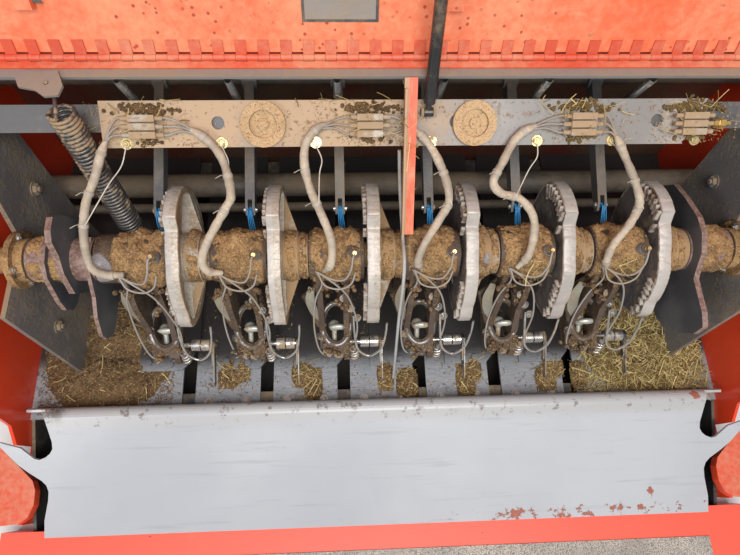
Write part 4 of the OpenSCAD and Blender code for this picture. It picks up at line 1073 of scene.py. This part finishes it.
guide_path = smooth_route([(-0.066, -0.058, 0.482), (-0.070, -0.076, 0.440),
                           (-0.060, -0.094, 0.392), (-0.044, -0.108, 0.352)], 14)
guide_width = 0.006 + 0.018 * np.sin(np.linspace(0.35, 2.8, 14))
guides = mesh_piece("twine_guides", *merged(*(
    strap(guide_path + (x, 0, 0), (1.0, -0.3, 0.0), guide_width, 0.0022) for x in knotter_x)),
                    painted("guide_paint", (0.33, 0.34, 0.28), cover=0.05, shine=0.35))
BAIL = [(0.026, -0.100, 0.400), (0.028, -0.136, 0.370), (0.036, -0.164, 0.334),
        (0.062, -0.176, 0.316), (0.088, -0.166, 0.334), (0.099, -0.142, 0.366),
        (0.102, -0.118, 0.398)]
bail_path = smooth_route(BAIL, 40)
bails = mesh_piece("roller_bails", *sweep([bail_path + (x, 0, 0) for x in knotter_x], 0.0030),
                   rubbed_steel("bail_zinc", (0.52, 0.50, 0.46), cover=-0.04, rough=0.3),
                   smooth=60.0)

# Cap screws and nuts on each frame: two bright ones over the pinion's shaft, and dirty ones
# on the right cheek and the boss.
SCREW_SPOTS = [(0.020, -0.088, 0.418), (0.004, -0.072, 0.446), (0.034, -0.104, 0.396)]
screws = mesh_piece("pinion_screws", *bolts(
    [(x + dx, y, z) for x in knotter_x for dx, y, z in SCREW_SPOTS], (0.15, -0.62, 0.78), 0.0068),
                    roller_steel)
NUT_SPOTS = [(-0.036, -0.163, 0.306), (-0.010, -0.166, 0.300), (-0.050, -0.128, 0.330)]
boss_nuts = mesh_piece("boss_nuts", *bolts(
    [(x + dx, y, z) for x in knotter_x for dx, y, z in NUT_SPOTS], (0.0, -0.75, 0.66), 0.0090),
                       finger_steel)
for piece in (guides, bails, screws, boss_nuts):
    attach(piece, "frame")

# Carrier plate. A pale painted plate on the face of the crossbar, bolted along its lower
# edge, with two round covers; dust from the straw lies on its left half most.
FACE_MID = np.array((0.0, 0.1865, 0.7306))
FACE_TILT = np.radians(35.5)
FACE_UP = np.array((0.0, np.cos(FACE_TILT), np.sin(FACE_TILT)))
FACE_OUT = np.array((0.0, -np.sin(FACE_TILT), np.cos(FACE_TILT)))
CARRIER_T = 0.006


def on_carrier(x, up, out):
    """Points over the carrier plate, from their places along it, up its face and off it."""
    x, up, out = np.broadcast_arrays(x, up, out)
    return (FACE_MID + x[..., None] * (1.0, 0.0, 0.0) + up[..., None] * FACE_UP
            + (out + CARRIER_T)[..., None] * FACE_OUT)


def carrier_finish():
    finish = Finish("carrier_paint")
    place = finish.place()
    broad = finish.noise(place, 6.0, 5.0)
    fine = finish.noise(place, 90.0, 6.0, 0.7)
    left = 1.0 - finish.step(finish.along(0), -0.15, 0.25)
    tone = finish.mix((0.205, 0.190, 0.175), (0.290, 0.262, 0.235), finish.step(broad, 0.4, 0.7))
    film = finish.step(broad + fine * 0.55 + left * 0.42, 0.80, 1.20)
    tone = finish.mix(tone, (0.420, 0.298, 0.190), film)
    speck = finish.step(fine + finish.noise(place, 17.0, 4.0) * 0.5, 0.84, 0.90)
    tone = finish.mix(tone, (0.17, 0.095, 0.045), speck * 0.7)
    return finish.shade(Base_Color=tone, Roughness=0.40 + film * 0.45,
                        Normal=finish.bump(film + fine * 0.4, 0.0008))


dress("carrier_plate", carrier_finish())
dress("crossbeam", painted("beam_paint", (0.085, 0.083, 0.085), cover=-0.22))
dress("cover_caps", caked_finish("cover_crust", crust=(0.50, 0.335, 0.185),
                                 deep=(0.36, 0.230, 0.120)))
zinc = rubbed_steel("zinc", (0.34, 0.295, 0.24), dust=(0.33, 0.235, 0.14), cover=0.16, rough=0.52,
                    metal=0.20)
dress("grease_blocks", zinc)
EDGE_BOLTS = np.array([-0.497, -0.320, -0.143, 0.079, 0.285, 0.434, 0.60])
edge_bolts = mesh_piece("carrier_bolts", *bolts(on_carrier(EDGE_BOLTS, -0.035, 0.0), FACE_OUT,
                                                0.0080),
                        rubbed_steel("yellow_zinc", (0.55, 0.44, 0.22), cover=0.0))
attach(edge_bolts, "frame")

# Dirt on the carrier plate. Clods and bits of straw lie against the distributor blocks and
# between the tubes.
BLOCK_X = np.array([-0.460, -0.040, 0.368, 0.586])
DIRT = [(0.0, 0.030, 60), (-0.030, 0.026, 22), (0.032, 0.024, 26), (0.0, -0.030, 20)]
dirt_spots = np.concatenate([
    on_carrier(draw.normal(x + dx, 0.017, count), draw.normal(up, 0.0045, count),
               np.full(count, 0.001)) for x in BLOCK_X for dx, up, count in DIRT])
carrier_dirt = mesh_piece("carrier_dirt", *lumps(dirt_spots, 0.0048), chaff, smooth=80.0)
CARRIER_FLAKES = 1400
flake_x = np.concatenate([draw.normal(BLOCK_X[draw.integers(0, 4, CARRIER_FLAKES)], 0.055),
                          draw.uniform(-0.62, 0.66, CARRIER_FLAKES // 4)])
flake_x = np.clip(flake_x, -0.62, 0.68)
carrier_spots = on_carrier(flake_x, draw.uniform(-0.040, 0.040, len(flake_x)), 0.0004)
carrier_flakes = mesh_piece("carrier_flakes", *flakes(
    carrier_spots, np.tile(FACE_OUT, (len(flake_x), 1)), 0.008), flake_straw)
add_tone(carrier_flakes, draw.uniform(0.3, 1.0, len(flake_x)))
# Stalks are caught there, on two hubs and by the middle lever; on the hubs they stay clear
# of the discs.
CARRIER_STALKS = 130
HUB_CLEAR = 0.018
HUB_TOP = 0.65
caught_spots = np.concatenate([
    on_carrier(draw.normal(BLOCK_X[draw.integers(0, 4, CARRIER_STALKS)], 0.040),
               draw.uniform(-0.03, 0.042, CARRIER_STALKS),
               draw.uniform(0.002, 0.012, CARRIER_STALKS)),
    draw.normal((0.288, -0.052, 0.560), (0.018, 0.012, 0.008), (40, 3)),
    draw.normal((0.490, -0.052, 0.560), (0.022, 0.012, 0.008), (50, 3)),
    draw.normal((0.026, 0.150, 0.745), (0.010, 0.050, 0.030), (20, 3))])
from_knotter = np.abs(caught_spots[:, :1] - knotter_x).min(1)
caught_spots = caught_spots[(caught_spots[:, 2] > HUB_TOP) | (from_knotter < HUB_CLEAR)]
caught_straw = mesh_piece("caught_straw", *stalks(caught_spots, 0.045, lean=0.5), straw)
add_tone(caught_straw, draw.random(len(caught_spots)))
for piece in (carrier_dirt, carrier_flakes, caught_straw):
    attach(piece, "frame")

# Grease lines. From each distributor block thin plastic tubes gather into two dusty sleeves
# that droop to the knotters' hubs, tied on the way, and fan out again to the grease points.
SLEEVE_R = 0.0095
SLEEVE_TIGHT = 0.86
LINE_R = 0.0021
BUNDLE_ROUTES = [
    [(-0.4983, 0.174, 0.7413), (-0.506, 0.174, 0.7413), (-0.522, 0.160, 0.738),
     (-0.538, 0.126, 0.724), (-0.553, 0.092, 0.702), (-0.574, 0.055, 0.678),
     (-0.586, 0.015, 0.650), (-0.591, -0.020, 0.620), (-0.588, -0.046, 0.590),
     (-0.570, -0.051, 0.564), (-0.536, -0.050, 0.5613)],
    [(-0.4217, 0.174, 0.7413), (-0.410, 0.174, 0.7413), (-0.366, 0.166, 0.737),
     (-0.322, 0.128, 0.716), (-0.304, 0.062, 0.690), (-0.318, 0.040, 0.668),
     (-0.352, -0.005, 0.636), (-0.372, -0.036, 0.604), (-0.366, -0.051, 0.576),
     (-0.340, -0.050, 0.5613)],
    [(-0.0783, 0.174, 0.7413), (-0.090, 0.174, 0.7413), (-0.130, 0.174, 0.742),
     (-0.160, 0.147, 0.728), (-0.165, 0.110, 0.706), (-0.155, 0.070, 0.684),
     (-0.140, 0.040, 0.664), (-0.118, -0.010, 0.626), (-0.120, -0.044, 0.590),
     (-0.134, -0.050, 0.5613)],
    [(-0.0017, 0.174, 0.7413), (0.010, 0.174, 0.7413), (0.044, 0.166, 0.738),
     (0.076, 0.140, 0.720), (0.102, 0.092, 0.697), (0.112, 0.050, 0.672),
     (0.094, 0.020, 0.646), (0.068, -0.015, 0.616), (0.056, -0.042, 0.588),
     (0.066, -0.050, 0.5613)],
    [(0.3297, 0.174, 0.7413), (0.318, 0.174, 0.7413), (0.276, 0.171, 0.740),
     (0.240, 0.151, 0.729), (0.214, 0.110, 0.708), (0.198, 0.080, 0.690),
     (0.215, 0.062, 0.676), (0.252, 0.055, 0.668), (0.280, 0.030, 0.650),
     (0.288, 0.000, 0.626), (0.282, -0.035, 0.592), (0.266, -0.050, 0.5613)],
    [(0.4063, 0.174, 0.7413), (0.416, 0.174, 0.7413), (0.432, 0.160, 0.734),
     (0.454, 0.120, 0.714), (0.480, 0.070, 0.688), (0.492, 0.040, 0.664),
     (0.480, 0.010, 0.636), (0.456, -0.020, 0.606), (0.446, -0.046, 0.586),
     (0.456, -0.050, 0.5613)]]
BUNDLE_BLOCK = [0, 0, 1, 1, 2, 2]
BUNDLE_SIDE = [-1, 1, -1, 1, -1, 1]
SLEEVE_POINTS = 150
SLEEVE_FROM = 18
bundles = np.stack([smooth_route(route, SLEEVE_POINTS) for route in BUNDLE_ROUTES])


def sleeve_finish():
    finish = Finish("sleeve_plastic")
    place = finish.place()
    broad = finish.noise(place, 16.0, 5.0, 0.6)
    fine = finish.noise(place, 160.0, 5.0, 0.7)
    tone = finish.mix((0.27, 0.232, 0.185), (0.47, 0.400, 0.305), finish.step(broad, 0.34, 0.62))
    tone = finish.mix(tone, (0.36, 0.25, 0.15), finish.step(fine + finish.facing() * 0.1, 0.52,
                                                            0.70) * 0.6)
    return finish.shade(Base_Color=tone, Roughness=0.65, Normal=finish.bump(fine, 0.0012))


sleeve_plastic = sleeve_finish()
swell = 1 + 0.09 * ripple(bundles, 0.03, 171) + 0.05 * ripple(bundles, 0.008, 172)
sleeve_r = SLEEVE_TIGHT * SLEEVE_R * swell
sleeve_r = sleeve_r[:, SLEEVE_FROM:] * np.interp(np.arange(SLEEVE_POINTS - SLEEVE_FROM),
                                                 [0, 6, 122, 131], [0.55, 1.0, 1.0, 0.6])
sleeves = mesh_piece("grease_sleeves", *sweep(bundles[:, SLEEVE_FROM:], sleeve_r, sides=14),
                     sleeve_plastic, smooth=70.0)
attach(sleeves, "frame")
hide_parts("hose_bundles")

TIE_AT = [26, 58, 84, 138]
ties = np.concatenate([bundles[:, at:at + 4] for at in TIE_AT])
tie_tails = np.concatenate([np.stack([bundles[:, at], bundles[:, at] + (-0.010, -0.008, 0.010),
                                      bundles[:, at] + (-0.020, -0.013, 0.008)], 1)
                            for at in TIE_AT[1:3]])
tie_plastic = painted("tie_plastic", (0.42, 0.38, 0.32), cover=-0.05, shine=0.5)
tie_bands = mesh_piece("cable_ties", *merged(sweep(ties, SLEEVE_R, sides=14),
                                             sweep(tie_tails, 0.0009, sides=4)), tie_plastic)

# The thin tubes at the upper ends, and the three that leave each lower end: a loop to the
# cup, one along the frame's left cheek to the boss and one to the rollers' pin.
upper_lines = []
for route, block, side in zip(bundles, BUNDLE_BLOCK, BUNDLE_SIDE):
    for row in (-0.015, 0.0, 0.015):
        nozzle = on_carrier(BLOCK_X[block] + side * 0.034, row - 0.004, 0.014)
        knots = [nozzle, nozzle + (side * 0.012, 0, 0), route[12] + row * 0.45 * FACE_UP,
                 route[26]]
        upper_lines.append(smooth_route(knots, 30))
CUP_LINE = [(-0.050, -0.052, 0.562), (-0.020, -0.066, 0.556), (0.006, -0.072, 0.566),
            (0.020, -0.060, 0.590), (0.024, -0.042, 0.606), (0.028, -0.031, 0.606)]
CHEEK_LINE = [(-0.052, -0.050, 0.560), (-0.040, -0.066, 0.530), (-0.056, -0.084, 0.480),
              (-0.064, -0.112, 0.410), (-0.062, -0.142, 0.350), (-0.052, -0.164, 0.310),
              (-0.030, -0.172, 0.296)]
ROLLER_LINE = [(-0.050, -0.051, 0.561), (-0.018, -0.070, 0.548), (0.012, -0.086, 0.506),
               (0.030, -0.112, 0.440), (0.034, -0.128, 0.390), (0.030, -0.150, 0.345),
               (0.034, -0.160, 0.322)]
LOOP_LINE = [(-0.048, -0.053, 0.560), (-0.034, -0.074, 0.540), (-0.004, -0.080, 0.532),
             (0.020, -0.074, 0.546), (0.030, -0.056, 0.566)]
lower_lines = [smooth_route(np.array(line) + (x, 0, 0), 30) for x in knotter_x
               for line in (CUP_LINE, CHEEK_LINE, ROLLER_LINE, LOOP_LINE)]
line_plastic = painted("line_plastic", (0.30, 0.29, 0.275), cover=0.0, shine=0.4)
lines_thin = mesh_piece("grease_lines", *sweep(upper_lines + lower_lines, LINE_R, sides=8),
                        line_plastic, smooth=60.0)

# A pale wire runs beside each sleeve from a carrier bolt to a tie, and one long rod stands
# in the middle of the bay.
wire_lines = []
for route, bolt_x in zip(bundles, EDGE_BOLTS):
    top = on_carrier(bolt_x, -0.040, 0.006)
    foot = route[84] + (0.006, -0.006, 0.006)
    wire_lines.append(smooth_route([top, top * 0.75 + foot * 0.25 + (0.010, 0, 0),
                                    (top + foot) / 2 + (0.004, 0, 0), foot], 24))
pale_wires = mesh_piece("pale_wires", *sweep(wire_lines, 0.0012, sides=6),
                        painted("wire_plastic", (0.62, 0.58, 0.50), cover=-0.1), smooth=60.0)
MID_ROD = [(0.018, 0.146, 0.700), (0.022, 0.100, 0.640), (0.027, 0.020, 0.592),
           (0.027, -0.040, 0.600), (0.027, -0.076, 0.560), (0.028, -0.110, 0.430),
           (0.030, -0.150, 0.300), (0.030, -0.205, 0.170)]
mid_rod = mesh_piece("middle_rod", *sweep([smooth_route(MID_ROD, 60)], 0.0036, sides=10),
                     painted("rod_paint", (0.46, 0.46, 0.45), cover=-0.05), smooth=60.0)
FITTING_AT = on_carrier(0.624, -0.004, 0.014)
fitting = mesh_piece("end_fitting", *stacked([FITTING_AT], (1, 0, 0),
                                             [0, 0.010, 0.0105, 0.020, 0.0205, 0.032],
                                             [0.0085, 0.0085, 0.0110, 0.0110, 0.0065, 0.0060], 6),
                     rubbed_steel("fitting_brass", (0.66, 0.45, 0.17), cover=-0.02))
for piece in (tie_bands, lines_thin, pale_wires, mid_rod, fitting):
    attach(piece, "frame")

# Top bar and hinge. A steel angle across the bay with a long piano hinge, its paint dulled
# to grey-brown, and the spring's bracket on it of the same paint; the strut's bracket takes the
# side plates' paint.
rail_paint = painted("rail_paint", (0.215, 0.205, 0.195), dust=(0.26, 0.200, 0.140), cover=0.04,
                     shine=0.4, chips=0.05)
for node in ("top_bar", "spring_bracket"):
    dress(node, rail_paint)
dress("strut_bracket", cheek_paint)

# Large spring. A close-coiled tension spring from the bracket on the top bar down to the
# ear of the first hub, with a hook bent from its wire at either end.
BIG_TOP = np.array((-0.583, 0.168, 0.800))
BIG_LOW = np.array((-0.553, 0.078, 0.488))
BIG_R = 0.0222
BIG_WIRE = 0.0034
BIG_HOOK = 0.0036
BIG_TURNS = 35
big_run = BIG_LOW - BIG_TOP
spring_steel = rubbed_steel("spring_steel", (0.125, 0.118, 0.110), cover=-0.04, rough=0.35,
                            metal=0.6)
big_coil = coil(BIG_TOP + 0.01 * big_run, BIG_TOP + 0.92 * big_run, BIG_R, BIG_TURNS,
                per_turn=14)
upper_hook = smooth_route([big_coil[0], BIG_TOP + (-0.004, 0.004, 0.008),
                           (-0.592, 0.190, 0.806), (-0.604, 0.212, 0.806),
                           (-0.604, 0.212, 0.8185)], 26)
lower_hook = smooth_route([big_coil[-1], BIG_LOW - 0.05 * big_run, (-0.566, 0.079, 0.492),
                           (-0.565, 0.078, 0.488), (-0.546, 0.078, 0.488)], 22)
big_spring = mesh_piece("large_spring_coils", *merged(
    sweep([big_coil], BIG_WIRE, sides=7), sweep([upper_hook], BIG_HOOK, sides=8),
    sweep([lower_hook], BIG_HOOK, sides=8)), spring_steel, smooth=60.0)
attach(big_spring, "frame")
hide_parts("large_spring")

# Cross pipes and the twine arms' shaft. Steel tubes welded between the side walls and the
# bar that the arms turn on, in black paint under old dust; the near black also stands as painted
# shade at the back of the bay.
# Near black here is both black paint and painted shade at the back of the bay.
shade_paint = painted("shade_paint", (0.036, 0.033, 0.031), dust=(0.155, 0.110, 0.066), cover=0.10)
for node in ("cross_pipes", "arm_shaft"):
    dress(node, shade_paint)

# Twine arms. Pressed channels with a pin across each fork, that lift the twine to the
# knotters; a few turns of blue twine are caught on each pin.
arm_paint = painted("arm_paint", (0.120, 0.120, 0.125), dust=(0.25, 0.18, 0.11), cover=-0.02,
                    shine=0.35, chips=0.07, bare=(0.30, 0.27, 0.24))
ARM_PIN = np.array((0.0, 0.1245, 0.4977))
SPRING_EYE = np.array((0.0, 0.302, 0.566))
SPRING_TOP = np.array((0.0, 0.238, 0.806))
SPRING_R = 0.0068
SPRING_WIRE = 0.0015
SPRING_TAIL = 0.0018
SPRING_INSET = 0.085
TWINE_HALF = (0.0042, 0, 0)
TWINE_R = 0.0014
spring_run = SPRING_TOP - SPRING_EYE
pin_steel = rubbed_steel("pin_steel", (0.45, 0.44, 0.43), cover=-0.02)


def twine_finish():
    finish = Finish("blue_twine")
    fibre = finish.noise(finish.place(), 700.0, 3.0, 0.7)
    tone = finish.mix((0.020, 0.210, 0.480), (0.070, 0.380, 0.740), finish.step(fibre, 0.42, 0.58))
    return finish.shade(Base_Color=tone, Roughness=0.6, Normal=finish.bump(fibre, 0.0004))


twine_blue = twine_finish()
for k, x in enumerate(knotter_x, 1):
    dress(f"twine_arm_{k}", arm_paint)
    middle = np.array((x, 0.0, 0.0))
    pin_ways = [[middle + ARM_PIN + (side * reach, 0, 0) for reach in (0.0100, 0.0125, 0.0150)]
                for side in (-1, 1)]
    pin = mesh_piece(f"arm_pin_{k}", *merged(
        sweep([[middle + ARM_PIN + (reach, 0, 0) for reach in (-0.0160, 0.0, 0.0160)]], 0.0034,
              sides=12), sweep(pin_ways, 0.0068, sides=14)), pin_steel)
    wrap = coil(middle + ARM_PIN - TWINE_HALF, middle + ARM_PIN + TWINE_HALF, 0.0048, 4.5,
                across=(0.0, 0.0, 1.0))
    tuft = [smooth_route([middle + ARM_PIN + (dx, -0.002, 0.004),
                          middle + ARM_PIN + (dx * 1.2, -0.010, 0.012 + 2 * abs(dx)),
                          middle + ARM_PIN + (dx * 1.8 + 0.002, -0.030, 0.004),
                          middle + ARM_PIN + (dx * 2.0 + 0.005, -0.050, -0.016)], 12)
            for dx in (-0.003, -0.001, 0.001, 0.003)]
    twine = mesh_piece(f"arm_twine_{k}", *merged(sweep([wrap], TWINE_R, sides=6),
                                                 sweep(tuft, 0.0011, sides=5)), twine_blue)
    for piece in (pin, twine):
        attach(piece, f"twine_arm_{k}")
    body = coil(middle + SPRING_EYE + SPRING_INSET * spring_run,
                middle + SPRING_TOP - SPRING_INSET * spring_run, SPRING_R, 56, per_turn=9)
    low_tail = smooth_route([body[0], middle + SPRING_EYE + 0.06 * spring_run,
                             middle + SPRING_EYE], 8)
    top_tail = smooth_route([body[-1], middle + SPRING_TOP - 0.06 * spring_run,
                             middle + SPRING_TOP], 8)
    spring = mesh_piece(f"arm_spring_coils_{k}", *merged(
        sweep([body], SPRING_WIRE, sides=5),
        sweep([low_tail, top_tail], SPRING_TAIL, sides=6)), spring_steel, smooth=60.0)
    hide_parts(f"arm_spring_{k}")
    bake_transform(spring)

# Red lever. A slim folded lever that hangs from the top bar, its red paint faded to orange
# and its left flange brown with dust and caught straw.


def lever_finish():
    finish = Finish("lever_paint")
    place = finish.place()
    fine = finish.noise(finish.place((1.0, 0.3, 0.3)), 60.0, 6.0, 0.7)
    left = 1.0 - finish.step(finish.along(0), 0.0290, 0.0330)
    tone = finish.mix((0.74, 0.110, 0.045), (0.80, 0.26, 0.14), finish.step(fine, 0.45, 0.70))
    tone = finish.mix(tone, (0.40, 0.235, 0.125), finish.step(left + fine * 0.5, 0.75, 1.0))
    return finish.shade(Base_Color=tone, Roughness=0.5, Normal=finish.bump(fine, 0.0006))


dress("red_lever", lever_finish())

# Hood. The folded sheet lid of the bay stands open on its hinge; its inner face is red paint
# under a salmon film of dust with darker drops where water ran, its outer face glossy. It
# carries a blank plate and a black strap, a dark strip that is painted shade where a rib's
# end lies in shadow.


def hood_finish():
    finish = Finish("hood_paint")
    place = finish.place()
    broad = finish.noise(place, 3.5, 5.0)
    film = finish.step(broad * 0.8 + finish.noise(place, 60.0, 6.0, 0.7) * 0.5, 0.45, 0.9)
    tone = finish.mix((0.74, 0.125, 0.045), (0.76, 0.315, 0.165), film)
    tone = finish.mix(tone, (0.62, 0.36, 0.22), finish.step(
        finish.noise(finish.place((0.3, 1.0, 1.0)), 17.0, 6.0, 0.7), 0.60, 0.74) * 0.45)
    warp = finish.noise(place, 90.0, 3.0) * 0.10
    spot = finish.node("ShaderNodeTexVoronoi", None, {"Vector": place, "Scale": 62.0}, "Distance")
    right = finish.step(finish.along(0), 0.0, 0.5)
    wet = finish.step(finish.noise(place, 5.0, 3.0) + right * 0.10, 0.50, 0.62)
    drops = (1.0 - finish.step(spot + warp, 0.20, 0.27)) * wet
    tone = finish.mix(tone, (0.40, 0.060, 0.030), drops)
    stain = finish.step(finish.noise(place, 30.0, 5.0, 0.7), 0.66, 0.72)
    tone = finish.mix(tone, (0.30, 0.12, 0.06), stain * 0.6)
    outside = finish.step(finish.facing(1), 0.0, 0.3)
    gloss = finish.mix((0.70, 0.060, 0.018), (0.68, 0.105, 0.050),
                       finish.step(film + broad, 0.8, 1.6))
    tone = finish.mix(tone, gloss, outside)
    return finish.shade(Base_Color=tone, Roughness=0.45 + film * 0.35,
                        Normal=finish.bump(broad + film * 0.2, 0.0008))


hood_paint = hood_finish()
for node in ("hood_shell", "hood_ribs"):
    dress(node, hood_paint)
hinge_paint = painted("hinge_paint", (0.66, 0.085, 0.035), dust=(0.62, 0.27, 0.15), cover=-0.02,
                      shine=0.4, chips=0.03)
for node in ("hinge_leaf_hood", "hinge_leaf_fixed"):
    dress(node, hinge_paint)
HOOD_UP = np.array((0.0, 0.42, 0.9075))
HOOD_OUT = np.array((0.0, -0.9075, 0.42))
PLATE_AT = np.array((-0.092, 0.3095, 0.9010))
plate_rows = np.linspace(-0.5, 0.5, 3)[:, None]
plate_rim = mesh_piece("plate_rim", *strap(PLATE_AT + HOOD_OUT * 0.0015 + plate_rows * 0.066
                                           * HOOD_UP, (1, 0, 0), 0.132, 0.0016),
                       painted("rim_print", (0.045, 0.045, 0.05), cover=-0.1))
plate_face = mesh_piece("blank_plate", *strap(PLATE_AT + HOOD_OUT * 0.0025 + plate_rows * 0.056
                                              * HOOD_UP, (1, 0, 0), 0.122, 0.0012),
                        painted("plate_foil", (0.30, 0.28, 0.26), cover=-0.05, shine=0.3))
# Painted shade: a black strap laid where the end of a hood rib lies in shadow.
shade_strap_path = np.array([(-0.626, 0.3240, 0.950), (-0.608, 0.3135, 0.926),
                       (-0.592, 0.3030, 0.902)]) - HOOD_OUT * 0.001
painted_shade_strap = mesh_piece("painted_shade_strap", *strap(shade_strap_path, (0.9, 0.2, -0.4), 0.020, 0.005),
                        painted("shade_strap_black", (0.030, 0.028, 0.028), cover=0.0))
for piece in (plate_rim, plate_face, painted_shade_strap):
    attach(piece, "hood")

# Gas strut. A sealed black tube with a polished rod, pinned to the crossbar's bracket and to
# the hood, that holds the lid up.
dress("strut_tube", painted("strut_black", (0.014, 0.014, 0.015), cover=-0.15, shine=0.25))
dress("strut_rod", rubbed_steel("strut_chrome", (0.6, 0.6, 0.6), cover=-0.3, rough=0.15))
